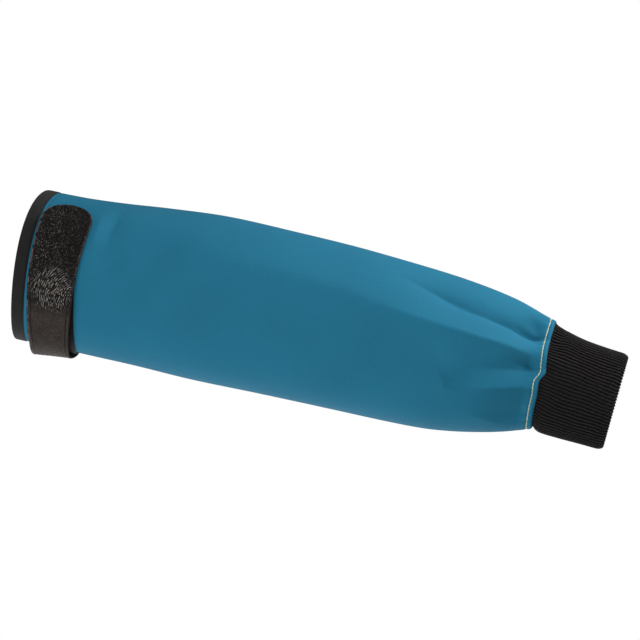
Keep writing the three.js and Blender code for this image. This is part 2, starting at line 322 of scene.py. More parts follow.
class ArmForm:
    """The form that the worn sleeve takes, which all its pieces follow."""

    def __init__(self, cloth: Sequence[ClothRow], folds: Sequence[FoldRow]) -> None:
        """Keeps the sections of the tube and its folds."""
        self.cloth = SmoothTable(tuple(cloth), "share")
        self.fold_rows = tuple(folds)

    def section(self, along: Array) -> Section:
        """Sections of the cloth's outside at places along the arm."""
        share = (np.asarray(along, float) - CLOTH_START) / CLOTH_LENGTH
        return Section(
            half_height=self.cloth.column("height", share) / 2,
            half_depth=self.cloth.column("depth", share) / 2,
            rise=self.cloth.column("rise", share),
            warp=self.cloth.column("warp", share),
        )

    def folds(self, along: Array, angle: Array) -> Array:
        """Height of all folds together at places on the cloth."""
        section = self.section(along)
        arc = np.radians(1) * (section.half_height + section.half_depth) / 2
        share = (np.asarray(along, float) - CLOTH_START) / CLOTH_LENGTH
        return sum(self._fold(fold, share, angle, arc) for fold in self.fold_rows)

    @staticmethod
    def _fold(fold: FoldRow, share: Array, angle: Array, arc: Array) -> Array:
        """Height of one fold: highest on its line, fading across it and to its tip."""
        near = fold.root[1] + np.mod(angle - fold.root[1] + 180, 360) - 180
        line_along = (fold.tip[0] - fold.root[0]) * CLOTH_LENGTH
        line_round = (fold.tip[1] - fold.root[1]) * arc
        off_along = (share - fold.root[0]) * CLOTH_LENGTH
        off_round = (near - fold.root[1]) * arc
        length_squared = line_along**2 + line_round**2
        t = np.clip((off_along * line_along + off_round * line_round) / length_squared, 0, 1)
        distance = np.hypot(off_along - t * line_along, off_round - t * line_round)
        grown = fold.held + (1 - fold.held) * smoothstep(0, fold.peak, t)
        faded = 1 - smoothstep(fold.peak, 1, t)
        slope = np.exp((fold.soft - np.hypot(distance, fold.soft)) / fold.reach)
        return fold.rise * grown * faded * slope


def hem_pull(angle: Array) -> Array:
    """How far the gathers pull the wrist hem along the arm at angles round it."""
    return SmoothTable(HEM_ROWS, "angle").column("pull", np.mod(angle + 180, 360) - 180)


def linear_colour(hex_code: str) -> tuple[float, float, float, float]:
    """Turns an sRGB hex value to the linear colour that a shader takes.

    Args:
        hex_code: Six hex digits after a hash sign.

    Returns:
        Red, green, blue and a full alpha.
    """
    channels = [int(hex_code[place : place + 2], 16) / 255 for place in (1, 3, 5)]
    red, green, blue = (
        c / 12.92 if c <= 0.04045 else ((c + 0.055) / 1.055) ** 2.4 for c in channels
    )
    return red, green, blue, 1.0


def add_node(
    tree: bpy.types.NodeTree,
    kind: str,
    links: Mapping[str | int, Any] | None = None,
    **settings: Any,
) -> bpy.types.Node:
    """Adds a node to a tree.

    Args:
        tree: The tree to add to.
        kind: The node's type name.
        links: For each input, by name or place, the socket that feeds it or its plain value.
        **settings: The node's own properties.

    Returns:
        The new node.
    """
    node = tree.nodes.new(kind)
    for name, value in settings.items():
        setattr(node, name, value)
    for name, source in (links or {}).items():
        if isinstance(source, bpy.types.NodeSocket):
            tree.links.new(source, node.inputs[name])
        else:
            node.inputs[name].default_value = source
    return node


def per_metre(size: float) -> float:
    """Scale of a noise or cell pattern whose features are a size in millimetres."""
    return 1 / (size * MM)


WAVE_FACTOR = 20.0  # the wave pattern multiplies each place by this


def wave_scale(pitch: float) -> float:
    """Scale of a wave pattern whose bands repeat at a pitch in millimetres."""
    return 2 * math.pi / WAVE_FACTOR / (pitch * MM)


class LeatherMark(Enum):
    """Marks of wear and of painted light and shade on the strap's leather, each the name of a share kept on
    its points.
    """

    WEAR_AND_SHEEN = "wear"
    GLINT = "glint"
    CREASE = "crease"
    WRINKLE_HIGHLIGHT = "scuff"
    RAW = "raw"


class Finish(ABC):
    """A material of the object, made once and shared by its pieces."""

    name: str

    def material(self) -> bpy.types.Material:
        """The finished material, built the first time that it is asked for."""
        made = bpy.data.materials.get(self.name)
        if made is None:
            made = bpy.data.materials.new(self.name)
            made.use_nodes = True
            made.node_tree.nodes.clear()
            shader = self.shade(made.node_tree)
            add_node(made.node_tree, "ShaderNodeOutputMaterial", {"Surface": shader})
        return made

    @abstractmethod
    def shade(self, tree: bpy.types.NodeTree) -> bpy.types.NodeSocket:
        """Builds the shader and returns its output."""


@dataclass(frozen=True)
class WovenCloth(Finish):
    """Tightly woven, dyed cotton-polyester work cloth: matte, faintly hairy and nearly even in colour."""

    name: str = "woven_work_cloth"
    colour: str = "#247593"
    shade_colour: str = "#206b89"
    thread_pitch: float = 0.9  # real threads lie 0.4 mm apart, drawn coarser so that they show
    patch_size: float = 45.0
    slub_size: float = 2.2
    weave_height: float = 0.05
    roughness: float = 0.82

    def shade(self, tree: bpy.types.NodeTree) -> bpy.types.NodeSocket:
        """Warp and weft in relief over a soft, uneven dye, with painted shade between the threads."""
        uv = add_node(tree, "ShaderNodeUVMap", uv_map=SURFACE_UV).outputs["UV"]
        place = add_node(tree, "ShaderNodeTexCoord").outputs["Object"]
        threads = [
            add_node(
                tree,
                "ShaderNodeTexWave",
                {
                    "Vector": uv,
                    "Scale": wave_scale(self.thread_pitch),
                    "Distortion": 0.6,
                    "Detail Scale": 0.4,
                },
                bands_direction=direction,
            ).outputs["Fac"]
            for direction in ("X", "Y")
        ]
        weave = add_node(
            tree, "ShaderNodeMath", {0: threads[0], 1: threads[1]}, operation="MAXIMUM"
        ).outputs[0]
        patches = add_node(
            tree,
            "ShaderNodeTexNoise",
            {"Vector": place, "Scale": per_metre(self.patch_size), "Detail": 3.0, "Roughness": 0.55},
        ).outputs["Fac"]
        slubs = add_node(
            tree,
            "ShaderNodeTexNoise",
            {"Vector": uv, "Scale": per_metre(self.slub_size), "Detail": 2.0, "Roughness": 0.6},
        ).outputs["Fac"]
        tone = add_node(tree, "ShaderNodeMath", {0: patches, 1: slubs}, operation="ADD").outputs[0]
        # The weave lightens the thread tops and darkens the gaps between threads as painted shade
        mixed = add_node(
            tree, "ShaderNodeMath", {0: weave, 1: 0.35, 2: tone}, operation="MULTIPLY_ADD"
        ).outputs[0]
        share = add_node(
            tree, "ShaderNodeMapRange", {"Value": mixed, "From Min": 0.7, "From Max": 1.6}
        ).outputs["Result"]
        colour = add_node(
            tree,
            "ShaderNodeMix",
            {0: share, 6: linear_colour(self.shade_colour), 7: linear_colour(self.colour)},
            data_type="RGBA",
        ).outputs[2]
        relief = add_node(
            tree,
            "ShaderNodeBump",
            {"Height": weave, "Strength": 0.5, "Distance": self.weave_height * MM},
        ).outputs["Normal"]
        return add_node(
            tree,
            "ShaderNodeBsdfPrincipled",
            {
                "Base Color": colour,
                "Roughness": self.roughness,
                "Specular IOR Level": 0.12,
                "Sheen Weight": 0.03,
                "Sheen Roughness": 0.45,
                "Normal": relief,
            },
        ).outputs["BSDF"]


@dataclass(frozen=True)
class WovenElastic(Finish):
    """Flat elastic webbing of black polyester over rubber cords: matte, with fine cords round the arm."""

    name: str = "woven_elastic"
    colour: str = "#1d1c1c"
    worn_colour: str = "#252424"
    thread_pitch: float = 0.8
    thread_height: float = 0.06
    bloom_size: float = 6.0
    roughness: float = 0.88

    def shade(self, tree: bpy.types.NodeTree) -> bpy.types.NodeSocket:
        """Short weft threads across the cords, with a faint grey bloom."""
        uv = add_node(tree, "ShaderNodeUVMap", uv_map=SURFACE_UV).outputs["UV"]
        weft = add_node(
            tree,
            "ShaderNodeTexWave",
            {"Vector": uv, "Scale": wave_scale(self.thread_pitch), "Distortion": 1.0},
            bands_direction="X",
        ).outputs["Fac"]
        bloom = add_node(
            tree, "ShaderNodeTexNoise", {"Vector": uv, "Scale": per_metre(self.bloom_size), "Detail": 4.0}
        ).outputs["Fac"]
        colour = add_node(
            tree,
            "ShaderNodeMix",
            {0: bloom, 6: linear_colour(self.colour), 7: linear_colour(self.worn_colour)},
            data_type="RGBA",
        ).outputs[2]
        relief = add_node(
            tree, "ShaderNodeBump", {"Height": weft, "Strength": 0.5, "Distance": self.thread_height * MM}
        ).outputs["Normal"]
        return add_node(
            tree,
            "ShaderNodeBsdfPrincipled",
            {
                "Base Color": colour,
                "Roughness": self.roughness,
                "Specular IOR Level": 0.2,
                "Sheen Weight": 0.1,
                "Normal": relief,
            },
        ).outputs["BSDF"]


@dataclass(frozen=True)
class GrainedLeather(Finish):
    """Black full-grain leather: pebbled, rubbed brown-grey partly as a painted sheen, painted highlights on
    wrinkles, pale cut edges.
    """

    name: str = "grained_leather"
    colour: str = "#0a0909"
    # Painted highlight of the pebble tops, over crevices kept black as painted shade
    pebble_highlight_colour: str = "#2c2927"
    # Painted glints on some pebble tops
    glint_colour: str = "#aaa29a"
    # Worn leather: a lighter brown-grey that is partly a painted sheen
    rubbed_sheen_colour: str = "#5c524b"
    # Painted shade in the creases and in the troughs between wrinkles
    crease_shade_colour: str = "#090808"
    # Painted highlight on the wrinkle crests
    wrinkle_highlight_colour: str = "#b8b0a9"
    raw_colour: str = "#806860"
    grain_size: float = 0.75  # real pebbles are 0.6 mm across, drawn coarser so that they show
    pore_size: float = 0.7
    blotch_size: float = 9.0
    grain_height: float = 0.3

    def shade(self, tree: bpy.types.NodeTree) -> bpy.types.NodeSocket:
        """Pebbles and pores in relief under layers of wear and of painted light and shade, laid by the
        shares on the strap's points.
        """
        uv = add_node(tree, "ShaderNodeUVMap", uv_map=SURFACE_UV).outputs["UV"]
        mark = {
            mark: add_node(tree, "ShaderNodeAttribute", attribute_name=mark.value).outputs["Fac"]
            for mark in LeatherMark
        }
        cells = add_node(
            tree,
            "ShaderNodeTexVoronoi",
            {"Vector": uv, "Scale": per_metre(self.grain_size), "Randomness": 1.0},
            feature="F1",
        ).outputs
        pores = add_node(
            tree,
            "ShaderNodeTexNoise",
            {"Vector": uv, "Scale": per_metre(self.pore_size), "Detail": 2.0, "Roughness": 0.6},
        ).outputs["Fac"]
        grain = add_node(
            tree, "ShaderNodeMath", {0: pores, 1: 0.6, 2: cells["Distance"]}, operation="MULTIPLY_ADD"
        ).outputs[0]
        strength = add_node(
            tree, "ShaderNodeMapRange", {"Value": mark[LeatherMark.WEAR_AND_SHEEN], "To Min": 0.9, "To Max": 0.2}
        ).outputs["Result"]
        relief = add_node(
            tree,
            "ShaderNodeBump",
            {"Height": grain, "Strength": strength, "Distance": self.grain_height * MM},
            invert=True,
        ).outputs["Normal"]
        # Pebble tops get a painted highlight and the crevices stay dark as painted shade
        specks = add_node(
            tree, "ShaderNodeMapRange", {"Value": grain, "From Min": 0.62, "From Max": 0.38}
        ).outputs["Result"]
        chance = add_node(tree, "ShaderNodeSeparateXYZ", {"Vector": cells["Color"]}).outputs["X"]
        chosen = add_node(
            tree, "ShaderNodeMapRange", {"Value": chance, "From Min": 0.3, "From Max": 1.0}
        ).outputs["Result"]
        tops = add_node(
            tree, "ShaderNodeMapRange", {"Value": cells["Distance"], "From Min": 0.42, "From Max": 0.12}
        ).outputs["Result"]
        bright = add_node(tree, "ShaderNodeMath", {0: chosen, 1: tops}, operation="MULTIPLY").outputs[0]
        glints = add_node(
            tree, "ShaderNodeMath", {0: bright, 1: mark[LeatherMark.GLINT]}, operation="MULTIPLY"
        ).outputs[0]
        blotches = add_node(
            tree,
            "ShaderNodeTexNoise",
            {"Vector": uv, "Scale": per_metre(self.blotch_size), "Detail": 6.0, "Roughness": 0.8},
        ).outputs["Fac"]
        patchy = add_node(
            tree, "ShaderNodeMapRange", {"Value": blotches, "From Min": 0.3, "From Max": 0.6, "To Min": 0.5}
        ).outputs["Result"]
        pitted = add_node(
            tree,
            "ShaderNodeMapRange",
            {"Value": grain, "From Min": 0.35, "From Max": 0.75, "To Min": 1.0, "To Max": 0.3},
        ).outputs["Result"]
        uneven = add_node(tree, "ShaderNodeMath", {0: patchy, 1: pitted}, operation="MULTIPLY").outputs[0]
        # Wear colour on the lower part, partly a painted sheen, kept off the crevices
        rub_and_sheen = add_node(
            tree, "ShaderNodeMath", {0: mark[LeatherMark.WEAR_AND_SHEEN], 1: uneven}, operation="MULTIPLY"
        ).outputs[0]
        layers = (
            # painted highlight on the pebble tops, with the crevices left black as painted shade
            (specks, self.pebble_highlight_colour),
            # painted glints on some pebble tops
            (glints, self.glint_colour),
            # wear on the lower part, whose lighter brown-grey is partly a painted sheen
            (rub_and_sheen, self.rubbed_sheen_colour),
            # painted shade in the creases and in the troughs between wrinkles
            (mark[LeatherMark.CREASE], self.crease_shade_colour),
            # painted highlight on the wrinkle crests
            (mark[LeatherMark.WRINKLE_HIGHLIGHT], self.wrinkle_highlight_colour),
            (mark[LeatherMark.RAW], self.raw_colour),
        )
        colour: Any = linear_colour(self.colour)
        for share, layer in layers:
            colour = add_node(
                tree, "ShaderNodeMix", {0: share, 6: colour, 7: linear_colour(layer)}, data_type="RGBA"
            ).outputs[2]
        roughness = add_node(
            tree, "ShaderNodeMapRange", {"Value": pores, "To Min": 0.45, "To Max": 0.7}
        ).outputs["Result"]
        return add_node(
            tree,
            "ShaderNodeBsdfPrincipled",
            {
                "Base Color": colour,
                "Roughness": roughness,
                "Specular IOR Level": 0.14,
                "Normal": relief,
            },
        ).outputs["BSDF"]


@dataclass(frozen=True)
class RawLeather(Finish):
    """Cut edge of the hide: dark brown fibres, rough and without gloss."""

    name: str = "raw_leather_edge"
    colour: str = "#352c28"
    fibre_colour: str = "#151110"
    fibre_size: float = 0.8
    fibre_height: float = 0.1

    def shade(self, tree: bpy.types.NodeTree) -> bpy.types.NodeSocket:
        """Brown fibres broken by specks of the black dye."""
        place = add_node(tree, "ShaderNodeTexCoord").outputs["Object"]
        fibres = add_node(
            tree,
            "ShaderNodeTexNoise",
            {"Vector": place, "Scale": per_metre(self.fibre_size), "Detail": 3.0, "Roughness": 0.7},
        ).outputs["Fac"]
        share = add_node(
            tree, "ShaderNodeMapRange", {"Value": fibres, "From Min": 0.35, "From Max": 0.65}
        ).outputs["Result"]
        colour = add_node(
            tree,
            "ShaderNodeMix",
            {0: share, 6: linear_colour(self.fibre_colour), 7: linear_colour(self.colour)},
            data_type="RGBA",
        ).outputs[2]
        relief = add_node(
            tree, "ShaderNodeBump", {"Height": fibres, "Strength": 0.6, "Distance": self.fibre_height * MM}
        ).outputs["Normal"]
        return add_node(
            tree,
            "ShaderNodeBsdfPrincipled",
            {"Base Color": colour, "Roughness": 0.9, "Specular IOR Level": 0.15, "Normal": relief},
        ).outputs["BSDF"]


@dataclass(frozen=True)
class FleshLeather(Finish):
    """Flesh side of the hide, dyed through: a dull dark nap."""

    name: str = "flesh_side_leather"
    colour: str = "#1b1918"
    nap_colour: str = "#2a2624"
    nap_size: float = 1.1
    nap_height: float = 0.15

    def shade(self, tree: bpy.types.NodeTree) -> bpy.types.NodeSocket:
        """Short matted nap with a little sheen."""
        place = add_node(tree, "ShaderNodeTexCoord").outputs["Object"]
        nap = add_node(
            tree,
            "ShaderNodeTexNoise",
            {"Vector": place, "Scale": per_metre(self.nap_size), "Detail": 4.0, "Roughness": 0.65},
        ).outputs["Fac"]
        colour = add_node(
            tree,
            "ShaderNodeMix",
            {0: nap, 6: linear_colour(self.colour), 7: linear_colour(self.nap_colour)},
            data_type="RGBA",
        ).outputs[2]
        relief = add_node(
            tree, "ShaderNodeBump", {"Height": nap, "Strength": 0.5, "Distance": self.nap_height * MM}
        ).outputs["Normal"]
        return add_node(
            tree,
            "ShaderNodeBsdfPrincipled",
            {
                "Base Color": colour,
                "Roughness": 0.95,
                "Specular IOR Level": 0.1,
                "Sheen Weight": 0.15,
                "Normal": relief,
            },
        ).outputs["BSDF"]


@dataclass(frozen=True)
class HookAndLoop(Finish):
    """Black nylon hook-and-loop tape: a dull pile that swallows light."""

    name: str = "hook_and_loop_tape"
    colour: str = "#131313"
    pile_colour: str = "#222222"
    pile_pitch: float = 0.9
    pile_height: float = 0.3

    def shade(self, tree: bpy.types.NodeTree) -> bpy.types.NodeSocket:
        """Rows of pile, with a painted highlight on their tops."""
        uv = add_node(tree, "ShaderNodeUVMap", uv_map=SURFACE_UV).outputs["UV"]
        pile = add_node(
            tree,
            "ShaderNodeTexVoronoi",
            {"Vector": uv, "Scale": per_metre(self.pile_pitch), "Randomness": 0.6},
        ).outputs["Distance"]
        # The pile tops take a painted highlight
        colour = add_node(
            tree,
            "ShaderNodeMix",
            {0: pile, 6: linear_colour(self.pile_colour), 7: linear_colour(self.colour)},
            data_type="RGBA",
        ).outputs[2]
        relief = add_node(
            tree,
            "ShaderNodeBump",
            {"Height": pile, "Strength": 0.8, "Distance": self.pile_height * MM},
            invert=True,
        ).outputs["Normal"]
        return add_node(
            tree,
            "ShaderNodeBsdfPrincipled",
            {"Base Color": colour, "Roughness": 0.95, "Sheen Weight": 0.1, "Normal": relief},
        ).outputs["BSDF"]


@dataclass(frozen=True)
class RibKnit(Finish):
    """Black cotton rib knit: soft matte ribs of small loops, greyed on their crests partly by fluff and
    partly by painted highlight.
    """

    name: str = "rib_knit_cotton"
    colour: str = "#060505"
    fluff_and_crest_light_colour: str = "#343031"
    loop_pitch: float = 1.5
    loop_height: float = 0.25
    loop_slant: float = 2.2
    fluff_size: float = 1.4

    def shade(self, tree: bpy.types.NodeTree) -> bpy.types.NodeSocket:
        """Slanted loops along each rib. U counts ribs and V runs along the cuff in metres."""
        uv = add_node(tree, "ShaderNodeUVMap", uv_map=SURFACE_UV).outputs["UV"]
        parts = add_node(tree, "ShaderNodeSeparateXYZ", {"Vector": uv}).outputs
        rib = add_node(tree, "ShaderNodeMath", {0: parts["X"]}, operation="FRACT").outputs[0]
        off = add_node(tree, "ShaderNodeMath", {0: rib, 1: 0.5}, operation="SUBTRACT").outputs[0]
        side = add_node(tree, "ShaderNodeMath", {0: off}, operation="ABSOLUTE").outputs[0]
        slant = add_node(
            tree,
            "ShaderNodeMath",
            {0: side, 1: self.loop_slant * self.loop_pitch * MM, 2: parts["Y"]},
            operation="MULTIPLY_ADD",
        ).outputs[0]
        along = add_node(
            tree,
            "ShaderNodeMath",
            {0: slant, 1: 2 * math.pi / (self.loop_pitch * MM)},
            operation="MULTIPLY",
        ).outputs[0]
        loops = add_node(tree, "ShaderNodeMath", {0: along}, operation="SINE").outputs[0]
        place = add_node(tree, "ShaderNodeTexCoord").outputs["Object"]
        fluff = add_node(
            tree,
            "ShaderNodeTexNoise",
            {"Vector": place, "Scale": per_metre(self.fluff_size), "Detail": 3.0},
        ).outputs["Fac"]
        # Crests greyed partly by fluff and partly by a painted highlight, over valleys kept black as
        # painted shade
        crest = add_node(
            tree, "ShaderNodeMapRange", {"Value": side, "From Min": 0.42, "From Max": 0.05}
        ).outputs["Result"]
        share = add_node(tree, "ShaderNodeMath", {0: crest, 1: fluff}, operation="MULTIPLY").outputs[0]
        colour = add_node(
            tree,
            "ShaderNodeMix",
            {0: share, 6: linear_colour(self.colour), 7: linear_colour(self.fluff_and_crest_light_colour)},
            data_type="RGBA",
        ).outputs[2]
        relief = add_node(
            tree, "ShaderNodeBump", {"Height": loops, "Strength": 0.5, "Distance": self.loop_height * MM}
        ).outputs["Normal"]
        return add_node(
            tree,
            "ShaderNodeBsdfPrincipled",
            {
                "Base Color": colour,
                "Roughness": 0.95,
                "Specular IOR Level": 0.15,
                "Sheen Weight": 0.12,
                "Normal": relief,
            },
        ).outputs["BSDF"]


@dataclass(frozen=True)
class SewingThread(Finish):
    """Spun polyester sewing thread: matte, and mottled by its twist."""

    name: str = "cream_sewing_thread"
    colour: str = "#dfe3c6"
    shade_colour: str = "#b9c3a4"
    twist_size: float = 0.5

    def shade(self, tree: bpy.types.NodeTree) -> bpy.types.NodeSocket:
        """Two tones of the yarn."""
        place = add_node(tree, "ShaderNodeTexCoord").outputs["Object"]
        twist = add_node(
            tree,
            "ShaderNodeTexNoise",
            {"Vector": place, "Scale": per_metre(self.twist_size), "Detail": 1.0},
        ).outputs["Fac"]
        colour = add_node(
            tree,
            "ShaderNodeMix",
            {0: twist, 6: linear_colour(self.shade_colour), 7: linear_colour(self.colour)},
            data_type="RGBA",
        ).outputs[2]
        return add_node(
            tree,
            "ShaderNodeBsdfPrincipled",
            {"Base Color": colour, "Roughness": 0.75, "Specular IOR Level": 0.3},
        ).outputs["BSDF"]


@dataclass(frozen=True)
class StudioPaper(Finish):
    """Pale seamless background paper, lit from behind: matte, plain and almost without shadow."""

    name: str = "studio_paper"
    colour: str = "#eeeeec"
    fibre_colour: str = "#f2f2f0"
    fibre_size: float = 60.0
    glow: float = 0.7

    def shade(self, tree: bpy.types.NodeTree) -> bpy.types.NodeSocket:
        """A faint fibre tone on a pale sheet."""
        place = add_node(tree, "ShaderNodeTexCoord").outputs["Object"]
        fibres = add_node(
            tree, "ShaderNodeTexNoise", {"Vector": place, "Scale": per_metre(self.fibre_size)}
        ).outputs["Fac"]
        colour = add_node(
            tree,
            "ShaderNodeMix",
            {0: fibres, 6: linear_colour(self.colour), 7: linear_colour(self.fibre_colour)},
            data_type="RGBA",
        ).outputs[2]
        return add_node(
            tree,
            "ShaderNodeBsdfPrincipled",
            {
                "Base Color": colour,
                "Roughness": 0.95,
                "Emission Color": linear_colour(self.colour),
                "Emission Strength": self.glow,
            },
        ).outputs["BSDF"]


def mesh_piece(
    name: str,
    points: Array,
    faces: Sequence[Sequence[int]],
    uv: Sequence[Sequence[tuple[float, float]]],
) -> bpy.types.Object:
    """Makes a smooth-shaded object from points and faces.

    Args:
        name: The piece's name.
        points: Its points in millimetres.
        faces: Each face's corners, counterclockwise from outside.
        uv: For each face, the place of each corner on the flat material, in metres.

    Returns:
        The object, at the origin.
    """
    mesh = bpy.data.meshes.new(name)
    mesh.from_pydata((points.reshape(-1, 3) * MM).tolist(), [], faces)
    layer = mesh.uv_layers.new(name=SURFACE_UV)
    layer.data.foreach_set("uv", np.array([c for corners in uv for c in corners], np.float32).ravel())
    mesh.polygons.foreach_set("use_smooth", np.ones(len(mesh.polygons), bool))
    mesh.update()
    piece = bpy.data.objects.new(name, mesh)
    bpy.context.scene.collection.objects.link(piece)
    return piece


def ring_angles(segments: int) -> Array:
    """Angles round a ring, in the order that points faces outwards."""
    return -360.0 * np.arange(segments) / segments


def wall_piece(name: str, rings: Array, flat_round: Array, flat_along: Array) -> bpy.types.Object:
    """A closed wall through rings that run out along its outside and back along its inside.

    Args:
        name: The piece's name.
        rings: Points of shape (rings, segments, 3), in millimetres.
        flat_round: Place round the flat material at each segment and at the last one's end.
        flat_along: Place along the flat material at each ring.

    Returns:
        The object.
    """
    count, segments = rings.shape[:2]
    ring, segment = np.meshgrid(np.arange(count), np.arange(segments), indexing="ij")
    after, beside = (ring + 1) % count, (segment + 1) % segments
    corners = [(ring, segment), (ring, beside), (after, beside), (after, segment)]
    faces = np.stack([r * segments + s for r, s in corners], axis=-1).reshape(-1, 4)
    across = np.broadcast_to(flat_round[None, :], (count, segments + 1))
    down = np.stack([flat_along, np.roll(flat_along, -1)])
    uv = np.empty((count, segments, 4, 2))
    uv[..., 0, 0] = uv[..., 3, 0] = across[:, :-1]
    uv[..., 1, 0] = uv[..., 2, 0] = across[:, 1:]
    uv[..., 0, 1] = uv[..., 1, 1] = down[0][:, None]
    uv[..., 2, 1] = uv[..., 3, 1] = down[1][:, None]
    return mesh_piece(name, rings, faces.tolist(), uv.reshape(-1, 4, 2).tolist())


def set_values(piece: bpy.types.Object, name: str, values: Array) -> None:
    """Keeps one number for each point of a piece under a name."""
    attribute = piece.data.attributes.new(name, "FLOAT", "POINT")
    attribute.data.foreach_set("value", np.asarray(values, np.float32).ravel())


def join_root(piece: bpy.types.Object, slot: str | None, *nodes: str) -> bpy.types.Object:
    """Makes a piece ride with the sleeve and stand for its nodes, whose solids it hides."""
    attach(piece, BODY)
    if nodes:
        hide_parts(*nodes)
    return piece


class NodeTool(ABC):
    """A Geometry Nodes tree with named inputs, used on a piece and then made plain mesh."""

    name: str
    inputs: Mapping[str, str]

    def __init__(self) -> None:
        """Builds the tree and keeps each input's identifier by its name."""
        self.tree = bpy.data.node_groups.new(self.name, "GeometryNodeTree")
        self.tree.interface.new_socket("Geometry", in_out="INPUT", socket_type="NodeSocketGeometry")
        for name, kind in self.inputs.items():
            self.tree.interface.new_socket(name, in_out="INPUT", socket_type=kind)
        self.tree.interface.new_socket("Geometry", in_out="OUTPUT", socket_type="NodeSocketGeometry")
        given = add_node(self.tree, "NodeGroupInput").outputs
        made = self.build(given)
        plain = add_node(self.tree, "GeometryNodeRealizeInstances", {"Geometry": made}).outputs[0]
        dressed = add_node(
            self.tree, "GeometryNodeSetMaterial", {"Geometry": plain, "Material": given["Material"]}
        ).outputs[0]
        add_node(self.tree, "NodeGroupOutput", {0: dressed})
        self.identifiers = {
            item.name: item.identifier
            for item in self.tree.interface.items_tree
            if item.item_type == "SOCKET" and item.in_out == "INPUT"
        }

    @abstractmethod
    def build(self, given: bpy.types.bpy_prop_collection) -> bpy.types.NodeSocket:
        """Adds the tool's own nodes and returns the geometry that they make."""

    def run(self, piece: bpy.types.Object, **values: Any) -> None:
        """Applies the tree to a piece, which is left with plain mesh and no modifier.

        Args:
            piece: The piece, whose mesh the result replaces.
            **values: A value for each named input, with spaces written as underscores.
        """
        modifier = piece.modifiers.new(self.name, "NODES")
        modifier.node_group = self.tree
        for name, value in values.items():
            modifier[self.identifiers[name.replace("_", " ").capitalize()]] = value
        graph = bpy.context.evaluated_depsgraph_get()
        plain = bpy.data.meshes.new_from_object(
            piece.evaluated_get(graph), preserve_all_data_layers=True, depsgraph=graph
        )
        piece.modifiers.clear()
        old, piece.data = piece.data, plain
        bpy.data.meshes.remove(old)
        plain.name = piece.name


class RibTool(NodeTool):
    """Sinks round-topped ribs into a surface, which it reads from the phase kept on each point."""

    name = "rib_relief"
    inputs = {"Rib depth": "NodeSocketFloat", "Material": "NodeSocketMaterial"}
    phase_attribute = "rib_phase"
    share_attribute = "rib_share"
    crest_power = 0.75

    def build(self, given: bpy.types.bpy_prop_collection) -> bpy.types.NodeSocket:
        """Half-round crests with a narrow valley at each whole phase."""
        tree = self.tree
        phase, reach = (
            add_node(tree, "GeometryNodeInputNamedAttribute", {"Name": name}, data_type="FLOAT").outputs[0]
            for name in (self.phase_attribute, self.share_attribute)
        )
        part = add_node(tree, "ShaderNodeMath", {0: phase}, operation="FRACT").outputs[0]
        side = add_node(
            tree, "ShaderNodeMath", {0: part, 1: 2.0, 2: -1.0}, operation="MULTIPLY_ADD"
        ).outputs[0]
        square = add_node(tree, "ShaderNodeMath", {0: side, 1: side}, operation="MULTIPLY").outputs[0]
        room = add_node(
            tree, "ShaderNodeMath", {0: 1.0, 1: square}, operation="SUBTRACT", use_clamp=True
        ).outputs[0]
        crest = add_node(
            tree, "ShaderNodeMath", {0: room, 1: self.crest_power}, operation="POWER"
        ).outputs[0]
        sunk = add_node(tree, "ShaderNodeMath", {0: crest, 1: 1.0}, operation="SUBTRACT").outputs[0]
        held = add_node(tree, "ShaderNodeMath", {0: sunk, 1: reach}, operation="MULTIPLY").outputs[0]
        depth = add_node(
            tree, "ShaderNodeMath", {0: held, 1: given["Rib depth"]}, operation="MULTIPLY"
        ).outputs[0]
        outwards = add_node(tree, "GeometryNodeInputNormal").outputs[0]
        offset = add_node(
            tree, "ShaderNodeVectorMath", {0: outwards, "Scale": depth}, operation="SCALE"
        ).outputs[0]
        return add_node(
            tree, "GeometryNodeSetPosition", {"Geometry": given["Geometry"], "Offset": offset}
        ).outputs[0]


